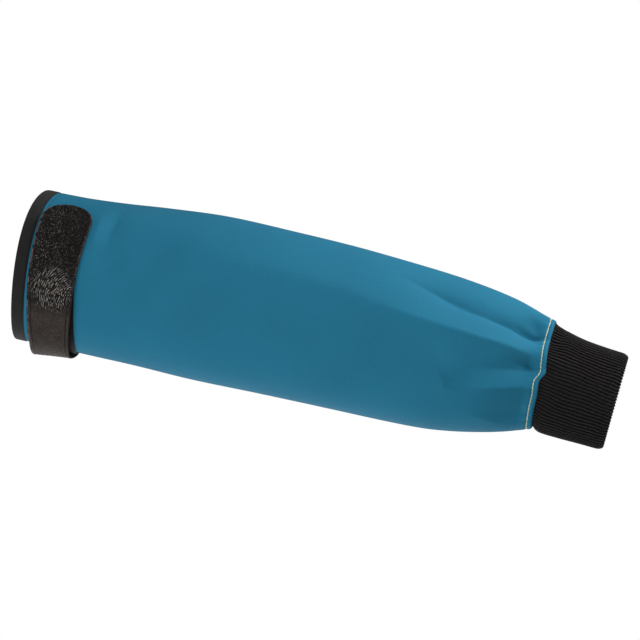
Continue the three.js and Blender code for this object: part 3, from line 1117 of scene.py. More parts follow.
class StitchTool(NodeTool):
    """Lays a row of thread stitches along a seam line, square to the cloth under it."""

    name = "stitch_row"
    inputs = {
        "Pitch": "NodeSocketFloat",
        "Stitch length": "NodeSocketFloat",
        "Thread width": "NodeSocketFloat",
        "Slant": "NodeSocketFloat",
        "Seed": "NodeSocketInt",
        "Material": "NodeSocketMaterial",
    }
    normal_attribute = "seam_normal"
    sway = 0.05

    def build(self, given: bpy.types.bpy_prop_collection) -> bpy.types.NodeSocket:
        """One rounded stitch for each pitch of the line, turned a little by chance."""
        tree = self.tree
        line = add_node(tree, "GeometryNodeMeshToCurve", {"Mesh": given["Geometry"]}).outputs[0]
        places = add_node(
            tree, "GeometryNodeCurveToPoints", {"Curve": line, "Length": given["Pitch"]}, mode="LENGTH"
        )
        outwards = add_node(
            tree,
            "GeometryNodeInputNamedAttribute",
            {"Name": self.normal_attribute},
            data_type="FLOAT_VECTOR",
        ).outputs[0]
        lying = add_node(
            tree, "FunctionNodeAlignRotationToVector", {"Vector": places.outputs["Tangent"]}, axis="X"
        ).outputs[0]
        upright = add_node(
            tree,
            "FunctionNodeAlignRotationToVector",
            {"Rotation": lying, "Vector": outwards},
            axis="Z",
            pivot_axis="X",
        ).outputs[0]
        chance = add_node(
            tree,
            "FunctionNodeRandomValue",
            {2: -self.sway, 3: self.sway, "Seed": given["Seed"]},
            data_type="FLOAT",
        ).outputs[1]
        yaw = add_node(tree, "ShaderNodeMath", {0: chance, 1: given["Slant"]}, operation="ADD").outputs[0]
        swing = add_node(tree, "ShaderNodeCombineXYZ", {"Z": yaw}).outputs[0]
        turn = add_node(tree, "FunctionNodeEulerToRotation", {0: swing}).outputs[0]
        laid = add_node(
            tree,
            "FunctionNodeRotateRotation",
            {"Rotation": upright, "Rotate By": turn},
            rotation_space="LOCAL",
        ).outputs[0]
        stitch = add_node(
            tree, "GeometryNodeMeshUVSphere", {"Segments": 8, "Rings": 5, "Radius": 0.5}
        ).outputs["Mesh"]
        size = add_node(
            tree,
            "ShaderNodeCombineXYZ",
            {"X": given["Stitch length"], "Y": given["Thread width"], "Z": given["Thread width"]},
        ).outputs[0]
        shaped = add_node(tree, "GeometryNodeTransform", {"Geometry": stitch, "Scale": size}).outputs[0]
        smooth = add_node(tree, "GeometryNodeSetShadeSmooth", {"Geometry": shaped}).outputs[0]
        return add_node(
            tree,
            "GeometryNodeInstanceOnPoints",
            {"Points": places.outputs["Points"], "Instance": smooth, "Rotation": laid},
        ).outputs[0]


class SubAssembly(ABC):
    """A part of the sleeve that is made and dressed as one or more pieces."""

    @abstractmethod
    def build(self) -> list[bpy.types.Object]:
        """Makes the pieces, dresses them and sets them on the frame."""


@dataclass
class SleeveCloth(SubAssembly):
    """The cloth tube, with its folds, hems and the felled seam on its back."""

    form: ArmForm
    finish: Finish = field(default_factory=WovenCloth)
    segments: int = 288
    ring_step: float = 1.6
    hem_step: float = 0.45
    inside_step: float = 6.0
    tuck_depth: float = 6.0
    tuck_rings: int = 5
    wrist_hem: float = 3.6
    upper_hem: float = 2.2
    hem_rise: float = 0.25
    hem_slope: float = 1.2
    upper_fine: float = 4.0
    wrist_fine: float = 12.0
    stitch_sink: float = 0.6
    stitch_reach: float = 0.9
    upper_sink_share: float = 0.6
    pucker_height: float = 0.35
    pucker_reach: float = 9.0
    pucker_offset: float = 3.0
    pucker_waves: tuple[int, ...] = (19, 27, 38)
    seam_angle: float = 150.0
    seam_width: float = 8.0
    seam_rise: float = 0.45
    seam_slope: float = 0.8
    seam_fade: float = 6.0
    edge_round: float = 0.35
    edge_reach: float = 0.5
    nose_out: float = 0.3
    pull_reach: float = 22.0
    cut_width: float = 0.402
    cut_length: float = 0.413
    cut_share: float = 0.95

    def seam_distance(self, along: Array, angle: Array) -> Array:
        """Distance round the arm from the middle of the felled seam."""
        section = self.form.section(along)
        arc = np.radians(1) * (section.half_height + section.half_depth) / 2
        return (np.mod(angle - self.seam_angle + 180, 360) - 180) * arc

    def relief(self, along: Array, angle: Array) -> Array:
        """Height of the cloth's outside over its plain oval."""
        to_wrist = CLOTH_END - along
        to_top = along - CLOTH_START
        turn = np.radians(angle)
        ripple = sum(np.sin(count * turn + count) for count in self.pucker_waves) / len(self.pucker_waves)
        off_hem = to_wrist - self.wrist_hem
        puckers = self.pucker_height * ripple * bell(off_hem - self.pucker_offset, self.pucker_reach)
        upper_sink = self.upper_sink_share * bell(to_top - self.upper_hem, self.stitch_reach)
        sinks = bell(off_hem, self.stitch_reach) + upper_sink
        hem = self.hem_rise * (1 - smoothstep(self.wrist_hem - self.hem_slope, self.wrist_hem, to_wrist))
        edge = -self.edge_round * (bell(to_wrist, self.edge_reach) + bell(to_top, self.edge_reach))
        half_seam = self.seam_width / 2
        off_seam = np.abs(self.seam_distance(along, angle))
        flank = smoothstep(half_seam - self.seam_slope, half_seam + self.seam_slope, off_seam)
        seam = self.seam_rise * (1 - flank)
        fade = smoothstep(0, self.seam_fade, to_top) * smoothstep(0, self.seam_fade, to_wrist)
        return self.form.folds(along, angle) + puckers - self.stitch_sink * sinks + hem + edge + seam * fade

    def place(self, along: Array, angle: Array, lift: Array) -> Array:
        """Points off the tube's plain oval, with the wrist hem pulled out of line by its gathers."""
        points = self.form.section(along).points(along, angle, lift)
        points[..., 0] += hem_pull(angle) * smoothstep(CLOTH_END - self.pull_reach, CLOTH_END, along)
        return points

    def surface(self, along: Array, angle: Array, lift: Array | float = 0.0) -> Array:
        """Points on the cloth's outside, or lifted off it."""
        return self.place(along, angle, self.relief(along, angle) + lift)

    def build(self) -> list[bpy.types.Object]:
        upper_end, wrist_start = CLOTH_START + self.upper_fine, CLOTH_END - self.wrist_fine
        middle = np.arange(upper_end, wrist_start, self.ring_step)
        upper = np.arange(CLOTH_START, upper_end, self.hem_step)
        wrist = np.arange(wrist_start, CLOTH_END, self.hem_step)
        outside = np.concatenate([upper, middle, wrist, [CLOTH_END]])
        tuck_end = CLOTH_END - self.tuck_depth
        tucked = np.linspace(CLOTH_END, tuck_end, self.tuck_rings, endpoint=False)
        beyond = np.linspace(tuck_end, CLOTH_START, round(CLOTH_LENGTH / self.inside_step))
        inside = np.concatenate([tucked, beyond])
        angle = ring_angles(self.segments)[None, :]
        half = CLOTH_THICKNESS / 2
        outer = self.surface(outside[:, None], angle)
        inner_lift = self.form.folds(inside[:, None], angle) - CLOTH_THICKNESS
        inner = self.place(inside[:, None], angle, inner_lift)
        ends = np.array([CLOTH_END, CLOTH_START])
        noses = self.place(ends[:, None], angle, self.form.folds(ends[:, None], angle) - half)
        noses[..., 0] += np.array([[self.nose_out], [-self.nose_out]])
        rings = np.concatenate([outer, noses[:1], inner, noses[1:]])
        places = np.concatenate([outside, ends[:1], inside, ends[1:]]) * MM
        girth = 2 * math.pi * CLOTH_RADIUS * MM
        flat_round = np.linspace(0, girth, self.segments + 1)
        piece = wall_piece("sleeve_cloth", rings, flat_round, places)
        piece.data.materials.append(self.finish.material())
        return [join_root(piece, "blue_cloth", "sleeve_body")]

    def declare(self, piece: bpy.types.Object, stitching: Sequence[bpy.types.Object]) -> None:
        """Takes the tube and its stitches, and does nothing with them."""


class BandRow(NamedTuple):
    """Profile of the band's outside: lift from the cloth's outside at a place along the arm."""

    along: float
    lift: float


@dataclass
class ElasticBand(SubAssembly):
    """The elastic band, stepped inwards where it is tucked into the cloth."""

    form: ArmForm
    ribs: RibTool
    finish: Finish = field(default_factory=WovenElastic)
    segments: int = 240
    fine_step: float = 0.16
    tucked_rings: int = 6
    inside_rings: int = 24
    inside_start: float = 0.6
    shown_lift: float = -0.5
    cord_pitch: float = 1.25
    cord_depth: float = 0.12
    rows: tuple[BandRow, ...] = (
        BandRow(-0.25, -0.9),
        BandRow(0.0, -0.3),
        BandRow(0.5, 0.12),
        BandRow(1.2, 0.3),
        BandRow(BAND_PROUD - 1.8, 0.3),
        BandRow(BAND_PROUD - 0.5, -CLOTH_THICKNESS - CLEARANCE),
        BandRow(BAND_WIDTH, -CLOTH_THICKNESS - CLEARANCE),
    )

    def build(self) -> list[bpy.types.Object]:
        """Makes the band with cords round the part that shows."""
        along = np.array([row.along for row in self.rows])
        lift = np.array([row.lift for row in self.rows])
        fine = np.arange(along[0], BAND_PROUD, self.fine_step)
        outside = np.concatenate([fine, np.linspace(BAND_PROUD, BAND_WIDTH, self.tucked_rings)])
        outside_lift = np.interp(outside, along, lift)
        inside = np.linspace(BAND_WIDTH, self.inside_start, self.inside_rings)
        inside_lift = np.interp(inside, along, lift) - ELASTIC_THICKNESS
        places = np.concatenate([outside, inside])
        lifts = np.concatenate([outside_lift, inside_lift])
        angle = ring_angles(self.segments)[None, :]
        rings = self.form.section(places[:, None]).points(places[:, None], angle, lifts[:, None])
        flat_round = np.linspace(0, 2 * math.pi * BAND_RADIUS * MM, self.segments + 1)
        piece = wall_piece("elastic_band", rings, flat_round, places * MM)
        phase = np.repeat(places / self.cord_pitch, self.segments)
        shown = np.repeat(np.where(lifts > self.shown_lift, 1.0, 0.0), self.segments)
        set_values(piece, self.ribs.phase_attribute, phase)
        set_values(piece, self.ribs.share_attribute, shown)
        self.ribs.run(piece, rib_depth=self.cord_depth * MM, material=self.finish.material())
        return [join_root(piece, "black_elastic", "arm_band")]


class WanderRow(NamedTuple):
    """A wave that the ribs wander in, with its length along the arm and its turns round it."""

    share: float
    length: float
    turns: float
    phase: float


@dataclass
class KnitCuff(SubAssembly):
    """The knit cuff, ribbed on both sides, with a round fold at its end."""

    form: ArmForm
    ribs: RibTool
    finish: Finish = field(default_factory=RibKnit)
    rib_count: int = 78
    rib_depth: float = 1.4
    steps_per_rib: int = 8
    outside_rings: int = 84
    inside_rings: int = 18
    nose_rings: int = 6
    fold_fade: float = 0.25
    nose_share: float = 0.965
    tuck_start: float = 0.9
    tuck_depth: float = 1.7
    seat_gap: float = 0.15
    seat_fade: float = 0.03
    wander: float = 0.4
    wander_waves: tuple[WanderRow, ...] = (
        WanderRow(1.0, 6.1, 4.0, 0.0),
        WanderRow(0.7, 3.3, -7.0, 1.0),
    )
    dent_depth: float = 2.2
    dent_place: tuple[float, float] = (0.09, -24.0)
    dent_size: float = 8.0
    dent_stretch: float = 1.4
    dent_smooth: float = 0.6
    cut_width: float = 0.215
    cut_length: float = 0.061

    @staticmethod
    def rib_angles(segments: int) -> Array:
        """Angles that share the cuff's middle section into steps of one length round it."""
        fine = np.linspace(0, 360, 8 * 360 + 1)
        turn = np.radians(fine)
        middle = CUFF_ROWS[len(CUFF_ROWS) // 2 + 1]
        step = np.hypot(middle.height * np.cos(turn), middle.depth * np.sin(turn))
        walk = np.concatenate([[0], np.cumsum((step[1:] + step[:-1]) / 2)])
        return -np.interp(walk[-1] * np.arange(segments) / segments, walk, fine)

    def dent(self, share: Array, angle: Array) -> Array:
        """Share of the dent beside the hem, where the cuff is pushed in."""
        middle_share, middle_angle = self.dent_place
        off_along = (share - middle_share) * CUFF_LENGTH
        off_round = np.radians(np.mod(angle - middle_angle + 180, 360) - 180) * CUFF_ROWS[0].height / 2
        return bell(np.hypot(off_along, off_round / self.dent_stretch), self.dent_size)

    def build(self) -> list[bpy.types.Object]:
        """Makes the cuff as one closed wall and sinks the ribs into it."""
        table = SmoothTable(CUFF_ROWS, "share")
        first = CUFF_ROWS[0].share
        outside = np.linspace(first, self.nose_share, self.outside_rings)
        turn = np.linspace(0, math.pi, self.nose_rings + 2)[1:-1]
        nose = self.nose_share + (1 - self.nose_share) * np.sin(turn)
        inside = np.linspace(self.nose_share, first, self.inside_rings)
        share = np.concatenate([outside, nose, inside])[:, None]
        depth = np.concatenate(
            [
                np.zeros(len(outside)),
                KNIT_THICKNESS / 2 * (1 - np.cos(turn)),
                np.full(len(inside), KNIT_THICKNESS),
            ]
        )[:, None]
        segments = self.rib_count * self.steps_per_rib
        along = CLOTH_END + share * CUFF_LENGTH
        angle = self.rib_angles(segments)[None, :]
        turned = np.radians(angle)
        sway = sum(
            wave.share * np.sin(along / wave.length + wave.turns * turned + wave.phase)
            for wave in self.wander_waves
        )
        angle = angle + self.wander * sway
        first_rise, last_rise = CUFF_ROWS[0].rise, CUFF_ROWS[-1].rise
        straight = first_rise + (last_rise - first_rise) * np.clip(share, 0, 1)
        drawn = table.column("rise", share) - straight
        pull = hem_pull(angle)
        under = np.minimum(along - pull, CLOTH_END)
        seat = self.form.section(under)
        sewn = 1 - smoothstep(0, self.seat_fade, share - pull / CUFF_LENGTH)
        inset = CLOTH_THICKNESS + self.seat_gap
        free = Section(
            half_height=table.column("height", share) / 2,
            half_depth=table.column("depth", share) / 2,
            rise=straight + drawn * np.sin(np.radians(angle)) ** 2,
        )
        section = Section(
            half_height=free.half_height + (seat.half_height - inset - free.half_height) * sewn,
            half_depth=free.half_depth + (seat.half_depth - inset - free.half_depth) * sewn,
            rise=free.rise + (seat.rise - free.rise) * sewn,
            lean=table.column("lean", share),
        )
        held = 1 - smoothstep(0, self.fold_fade, share)
        tuck = self.tuck_depth * np.clip((share - self.tuck_start) / (1 - self.tuck_start), 0, 1) ** 2
        dent = self.dent_depth * self.dent(share, angle) * (1 - sewn)
        lift = held * self.form.folds(under, angle) - depth - tuck - dent
        rings = section.points(along, angle, lift)
        flat_round = np.linspace(0, -self.rib_count, segments + 1) + 0.5
        piece = wall_piece("knit_cuff", rings, flat_round, along[:, 0] * MM)
        phase = np.broadcast_to(flat_round[None, :-1], rings.shape[:2])
        set_values(piece, self.ribs.phase_attribute, phase)
        rib_share = (1 - self.dent_smooth * self.dent(share, angle)) * (1 - sewn)
        set_values(piece, self.ribs.share_attribute, rib_share)
        self.ribs.run(piece, rib_depth=self.rib_depth * MM, material=self.finish.material())
        return [join_root(piece, "rib_knit", "wrist_cuff")]

    def declare(self, piece: bpy.types.Object) -> None:
        """Takes the cuff, and does nothing with it."""


def strip_faces(count: int, ring: int) -> tuple[Array, list[list[int]]]:
    """Faces of a strip through a count of rings: its quads, and the cap at each end."""
    station, corner = np.meshgrid(np.arange(count - 1), np.arange(ring), indexing="ij")
    beside = (corner + 1) % ring
    order = [(station, corner), (station, beside), (station + 1, beside), (station + 1, corner)]
    quads = np.stack([s * ring + c for s, c in order], axis=-1).reshape(-1, 4)
    return quads, [list(range(ring))[::-1], list(range((count - 1) * ring, count * ring))]


@dataclass
class Strip:
    """A flat strip wrapped round the sleeve."""

    form: ArmForm
    rows: tuple[StripRow, ...]

    def points(self, angle: Array, across: Array, share: Array, face: Array) -> Array:
        """Points of the strip.

        Args:
            angle: Angles round the arm.
            across: Places across the strip, from -1 at its upper edge to 1 at its wrist edge.
            share: Share of the full width that the strip has there.
            face: Height over the strip's underside.

        Returns:
            Points in millimetres, with x, y and z on the last axis.
        """
        table = SmoothTable(self.rows, "angle")
        along = table.column("along", angle) + across * share * table.column("width", angle) / 2
        lift = table.column("lift", angle) * (1 - across * table.column("flare", angle)) + face
        return self.form.section(along).points(along, angle, lift)

    def surface(self, along: Array, angle: Array, lift: float) -> Array:
        """Points at a height over the strip's underside, at places along the arm."""
        table = SmoothTable(self.rows, "angle")
        across = (along - table.column("along", angle)) / (table.column("width", angle) / 2)
        return self.points(angle, across, np.ones_like(across), np.full(across.shape, lift))

    def closed_piece(self, name: str, angle: Array, across: Array, face: Array) -> bpy.types.Object:
        """A closed strip with the same ring of points at each angle.

        Args:
            name: The piece's name.
            angle: Angles along the strip.
            across: Places of the ring's points across the strip.
            face: Heights of the ring's points over the strip's underside.

        Returns:
            The object, with its flat place as its UV map.
        """
        points = self.points(angle[:, None], across[None, :], np.ones((len(angle), 1)), face[None, :])
        count, ring = points.shape[:2]
        quads, caps = strip_faces(count, ring)
        flat_along = np.broadcast_to(np.radians(angle[:, None]) * CLOTH_RADIUS, (count, ring))
        flat_across = np.broadcast_to(across * self.rows[0].width / 2 + face, (count, ring))
        flat = np.stack([flat_across, flat_along], axis=-1).reshape(-1, 2) * MM
        faces = quads.tolist() + caps
        return mesh_piece(name, points, faces, [flat[list(f)].tolist() for f in faces])


class StrapFace(Enum):
    """The strap's materials, in the order of its slots."""

    GRAIN = 0
    EDGE = 1
    FLESH = 2


@dataclass
class LeatherStrap(SubAssembly):
    """The leather strap, from its square sewn end on the back to its round tip on the front."""

    form: ArmForm
    finishes: tuple[Finish, ...] = (GrainedLeather(), RawLeather(), FleshLeather())
    tip_length: float = 16.0
    steps: int = 660
    tip_steps: int = 30
    tip_short: float = 0.35
    across_step: float = 0.32
    under_points: int = 13
    edge_offsets: tuple[float, ...] = (0.0, 0.18, 0.4, 0.7, 1.05, 1.5, 1.9, 2.2, 2.5, 2.8, 3.2)
    bevel_width: float = 0.55
    bevel_drop: float = 0.5
    edge_fade: tuple[float, float] = (0.3, 1.4)
    raw_width: float = 0.5
    crease_offset: float = 3.0
    crease_depth: float = 0.35
    crease_reach: float = 0.4
    bend_angle: float = -80.0
    wear_and_sheen_span: tuple[float, float] = (-34.0, -20.0)
    glint_span: tuple[float, float] = (-26.0, -6.0)
    grain_depth: float = 0.1
    grain_size: float = 1.6
    wrinkle_rise: float = 0.25
    wrinkle_pitch: float = 1.5
    wrinkle_wander: float = 3.2
    wrinkle_breaks: float = 9.0
    wrinkle_pole: tuple[float, float] = (22.3, 185.0)
    wrinkle_middle: tuple[float, float] = (2.0, 191.0)
    wrinkle_size: tuple[float, float] = (18.5, 16.5)

    @property
    def tip_angle(self) -> float:
        """Angle that the round tip takes up."""
        radius = float(self.form.section(np.array(STRAP_ROWS[-1].along)).half_height)
        return math.degrees(self.tip_length / radius)

    def stations(self) -> tuple[Array, Array]:
        """Angles along the strap and the share of its width at each."""
        start, tip = STRAP_ROWS[0].angle, STRAP_ROWS[-1].angle
        body = np.linspace(start, tip - self.tip_angle, self.steps)
        turn = (math.pi / 2) * np.arange(1, self.tip_steps + 1) / (self.tip_steps + self.tip_short)
        angle = np.concatenate([body, tip - self.tip_angle * (1 - np.sin(turn))])
        share = np.concatenate([np.ones(self.steps), np.cos(turn)])
        return angle, share

    def edge_distance(self, angle: Array, across: Array, share: Array) -> Array:
        """Distance from a place on the strap to its nearest edge."""
        half = SmoothTable(STRAP_ROWS, "angle").column("width", angle) / 2
        shoulder = STRAP_ROWS[-1].angle - self.tip_angle
        past = np.maximum(angle - shoulder, 0) / self.tip_angle
        radius = np.hypot(past, across * share)
        slope = np.hypot(past / self.tip_length, across * share / half) / np.maximum(radius, 1e-6)
        round_tip = (1 - radius) / np.maximum(slope, 1e-6)
        return np.maximum(np.where(past > 0, round_tip, (1 - np.abs(across)) * half), 0)

    def pebbles(self, across_mm: Array, along_mm: Array) -> Array:
        """Height of the leather's own grain, from -1 in its crevices to 1."""
        near = np.empty(across_mm.shape)
        for place in np.ndindex(across_mm.shape):
            at = Vector((across_mm[place], along_mm[place], 0.0)) / self.grain_size
            first, second = noise.voronoi(at)[0][:2]
            near[place] = second - first
        return np.minimum(near, 0.5) * 4 - 1

    def wrinkles(self, across_mm: Array, along_mm: Array) -> tuple[Array, Array]:
        """Flex wrinkles: short strokes in a patch, in arcs round a point beside the strap.

        Args:
            across_mm: Places across the strap.
            along_mm: Places along the strap.

        Returns:
            The share of a wrinkle at each place, and that of the trough between wrinkles.
        """
        off_across = across_mm - self.wrinkle_pole[0]
        off_along = along_mm - self.wrinkle_pole[1]
        radius = np.hypot(off_across, off_along)
        turn = np.arctan2(off_along, off_across)
        wander, gaps = np.empty(across_mm.shape), np.empty(across_mm.shape)
        for place in np.ndindex(across_mm.shape):
            at = Vector((across_mm[place], along_mm[place], 0.0)) / self.wrinkle_wander
            wander[place] = noise.noise(at)
            gaps[place] = noise.noise(
                Vector((turn[place] * self.wrinkle_breaks, radius[place] / self.wrinkle_pitch, 5.0))
            )
        lines = np.cos(2 * math.pi * (radius / self.wrinkle_pitch + 0.7 * wander))
        strokes = smoothstep(0.3, 1.0, lines) * smoothstep(-0.2, 0.25, gaps)
        troughs = smoothstep(-0.1, -0.8, lines)
        middle, size = self.wrinkle_middle, self.wrinkle_size
        off = np.hypot((across_mm - middle[0]) / size[0], (along_mm - middle[1]) / size[1])
        patch = 1 - smoothstep(0.55, 1.1, off + 0.25 * wander)
        return strokes * patch, troughs * patch

    def marks(
        self, edge: Array, across_mm: Array, along_mm: Array, angle: Array
    ) -> dict[LeatherMark, Array]:
        """Share of each mark of wear, raw edge, painted light and painted shade at the strap's points.

        Args:
            edge: Distance of each point from the strap's edge.
            across_mm: Its place across the strap.
            along_mm: Its place along the strap.
            angle: Its angle round the arm.

        Returns:
            For each mark, a share for every point.
        """
        inner = smoothstep(*self.edge_fade, edge)
        broken, bend_wave = np.empty(edge.shape), np.empty(edge.shape)
        for place in np.ndindex(edge.shape):
            broken[place] = noise.noise(Vector((across_mm[place] / 1.5, along_mm[place] / 3.0, 9.0)))
            bend_wave[place] = noise.noise(Vector((across_mm[place] / 5.0, 3.0, 0.0)))
        bend = np.interp(self.bend_angle, angle[:, 0], along_mm[:, 0])
        # The lower part is worn smooth, and its lighter grey is partly a painted sheen
        worn_and_sheen = 1 - smoothstep(*self.wear_and_sheen_span, angle)
        line = bell(edge - self.crease_offset, self.crease_reach) * (0.45 + 0.55 * worn_and_sheen)
        fold = bell(along_mm - bend + 0.9 * bend_wave, 0.5) * smoothstep(1.5, 4, edge)
        strokes, troughs = self.wrinkles(across_mm, along_mm)
        left = smoothstep(0.8, -0.8, across_mm / (STRAP_ROWS[-1].width / 2))
        bare = np.maximum(left, 0.6 * smoothstep(-25, 10, angle)) * (1 - 0.5 * smoothstep(42, 50, angle))
        shine = smoothstep(*self.glint_span, angle) * (0.4 + 0.6 * left) * inner
        frayed = (1 - smoothstep(0.5, 0.9 + 0.5 * left, edge)) * smoothstep(-0.3, 0.1, broken)
        return {
            LeatherMark.WEAR_AND_SHEEN: np.broadcast_to(worn_and_sheen, edge.shape),
            LeatherMark.GLINT: np.broadcast_to(shine, edge.shape),
            # painted shade along the edge crease, the bend crease and the troughs between wrinkles
            LeatherMark.CREASE: np.maximum(np.maximum(line, fold), 0.8 * inner * troughs),
            # painted highlight on the wrinkle strokes, which also raise them
            LeatherMark.WRINKLE_HIGHLIGHT: 0.85 * inner * strokes,
            LeatherMark.RAW: frayed * bare,
        }

    def build(self) -> list[bpy.types.Object]:
        """Makes the strap as one closed strip with three finishes."""
        angle, share = self.stations()
        half = STRAP_ROWS[-1].width / 2
        offsets = np.array(self.edge_offsets)
        middle = np.arange(-half + offsets[-1] + self.across_step, half - offsets[-1], self.across_step)
        top = np.concatenate([-half + offsets, middle, half - offsets[::-1]]) / half
        under = np.linspace(1, -1, self.under_points)
        across = np.concatenate([top, under])[None, :]
        is_top = np.concatenate([np.ones(len(top), bool), np.zeros(len(under), bool)])
        table = SmoothTable(STRAP_ROWS, "angle")
        half_width = table.column("width", angle)[:, None] / 2
        radius = self.form.section(table.column("along", angle)).half_height
        walk = np.concatenate([[0], np.cumsum(np.diff(angle) * np.radians(1) * radius[1:])])[:, None]
        edge = self.edge_distance(angle[:, None], across, share[:, None])
        across_mm = across * share[:, None] * half_width
        along_mm = np.broadcast_to(walk, across_mm.shape)
        marks = self.marks(edge, across_mm, along_mm, angle[:, None])
        relief = self.wrinkle_rise * marks[LeatherMark.WRINKLE_HIGHLIGHT]
        relief = relief - self.crease_depth * marks[LeatherMark.CREASE]
        relief += self.grain_depth * self.pebbles(across_mm, along_mm) * smoothstep(*self.edge_fade, edge)
        drop = self.bevel_drop * (1 - smoothstep(0, self.bevel_width, edge))
        face = np.where(is_top[None, :], LEATHER_THICKNESS - drop + relief, 0.0)
        strip = Strip(self.form, STRAP_ROWS)
        points = strip.points(angle[:, None], across, share[:, None], face)
        piece = self._dress(points, edge, across_mm, along_mm, is_top)
        for mark, values in marks.items():
            set_values(piece, mark.value, values)
        return [piece]

    def _dress(
        self, points: Array, edge: Array, across_mm: Array, along_mm: Array, is_top: Array
    ) -> bpy.types.Object:
        """Closes the strip's ends, gives each face its finish and sets the strap on the frame."""
        quads, caps = strip_faces(*points.shape[:2])
        faces = quads.tolist() + caps
        flat = np.stack([across_mm, along_mm], axis=-1).reshape(-1, 2) * MM
        piece = mesh_piece("leather_strap", points, faces, [flat[list(f)].tolist() for f in faces])
        top_points = np.broadcast_to(is_top[None, :], edge.shape).ravel()
        raw = edge.ravel() < self.raw_width
        whole_top = top_points[quads].all(axis=1)
        near_edge = raw[quads].sum(axis=1) >= 3
        kinds = np.where(whole_top, StrapFace.GRAIN.value, StrapFace.FLESH.value)
        side = top_points[quads].any(axis=1) & ~whole_top
        kinds[(whole_top & near_edge) | side] = StrapFace.EDGE.value
        kinds = np.concatenate([kinds, [StrapFace.EDGE.value] * 2])
        for finish in self.finishes:
            piece.data.materials.append(finish.material())
        piece.data.polygons.foreach_set("material_index", kinds.astype(np.int32))
        return join_root(piece, "black_leather", "arm_strap")


@dataclass
class FastenerPad(SubAssembly):
    """The hook-and-loop pad under the strap's tip: two tapes pressed together."""

    form: ArmForm
    finish: Finish = field(default_factory=HookAndLoop)
    steps: int = 70
    across_points: int = 40
    split_share: float = 1 / 34

    def build(self) -> list[bpy.types.Object]:
        """Makes the pad with the line between its two tapes round its edge."""
        span = np.linspace(-1, 1, self.across_points)
        side = np.array([0.8, 0.55, 0.5, 0.45, 0.2])
        notch = np.array([1.0, 1.0, 1 - self.split_share, 1.0, 1.0])
        across = np.concatenate([span, notch, span[::-1], -notch])
        face = np.concatenate([np.ones_like(span), side, np.zeros_like(span), side[::-1]]) * PAD_THICKNESS
        angle = np.linspace(PAD_ROWS[0].angle, PAD_ROWS[-1].angle, self.steps)
        piece = Strip(self.form, PAD_ROWS).closed_piece("fastener_pad", angle, across, face)
        piece.data.materials.append(self.finish.material())
        return [join_root(piece, "hook_and_loop", "strap_fastener")]


@dataclass
class StrapShadeStrip(SubAssembly):
    """A black strip under the strap, painted shade that shows as a dark line beside its wrist edge."""

    form: ArmForm
    # Painted shade, in the woven elastic finish made near-black
    finish: Finish = WovenElastic("painted_strap_shade", "#080707", "#0e0d0d")
    steps: int = 110
    across_points: int = 30
    edge_round: float = 0.04
    edge_share: float = 0.6

    def build(self) -> list[bpy.types.Object]:
        """Makes the painted shade as a thin black strip with rounded edges."""
        span = np.linspace(-1, 1, self.across_points)
        across = np.concatenate([span, span[::-1]])
        rounded = 1 - self.edge_share * bell(1 - np.abs(span), self.edge_round)
        face = np.concatenate([rounded, 1 - rounded]) * SHADE_STRIP_THICKNESS
        angle = np.linspace(SHADE_STRIP_ROWS[0].angle, SHADE_STRIP_ROWS[-1].angle, self.steps)
        piece = Strip(self.form, SHADE_STRIP_ROWS).closed_piece("strap_shade_strip", angle, across, face)
        piece.data.materials.append(self.finish.material())
        return [join_root(piece, "black_elastic")]


Surface = Callable[[Array, Array, float], Array]


@dataclass
class StitchRow(SubAssembly):
    """A row of stitches along a line on one of the sleeve's surfaces."""

    name: str
    tool: StitchTool
    surface: Surface
    along: Array
    angle: Array
    thread: Finish
    closed: bool = True
    pitch: float = 2.9
    stitch_length: float = 3.3
    thread_width: float = 1.0
    slant: float = 0.06
    seat: float = 0.12
    probe: float = 0.2
    axis_rise: float = 3.0
    seed: int = 7

    def build(self) -> list[bpy.types.Object]:
        """Lays the stitches and sets them on the frame."""
        points = self.surface(self.along, self.angle, self.seat)
        ahead = self.surface(self.along + self.probe, self.angle, self.seat) - points
        beside = self.surface(self.along, self.angle + self.probe, self.seat) - points
        normals = np.cross(beside, ahead)
        normals /= np.linalg.norm(normals, axis=1)[:, None]
        off_axis = points - [0, 0, self.axis_rise]
        outwards = np.sign((normals * off_axis @ np.diag([0, 1, 1])).sum(axis=1))
        normals *= outwards[:, None]
        mesh = bpy.data.meshes.new(self.name)
        count = len(points)
        edges = [(place, place + 1) for place in range(count - 1)]
        if self.closed:
            edges.append((count - 1, 0))
        mesh.from_pydata((points * MM).tolist(), edges, [])
        held = mesh.attributes.new(self.tool.normal_attribute, "FLOAT_VECTOR", "POINT")
        held.data.foreach_set("vector", normals.astype(np.float32).ravel())
        piece = bpy.data.objects.new(self.name, mesh)
        bpy.context.scene.collection.objects.link(piece)
        self.tool.run(
            piece,
            pitch=self.pitch * MM,
            stitch_length=self.stitch_length * MM,
            thread_width=self.thread_width * MM,
            slant=self.slant,
            seed=self.seed,
            material=self.thread.material(),
        )
        return [join_root(piece, None)]


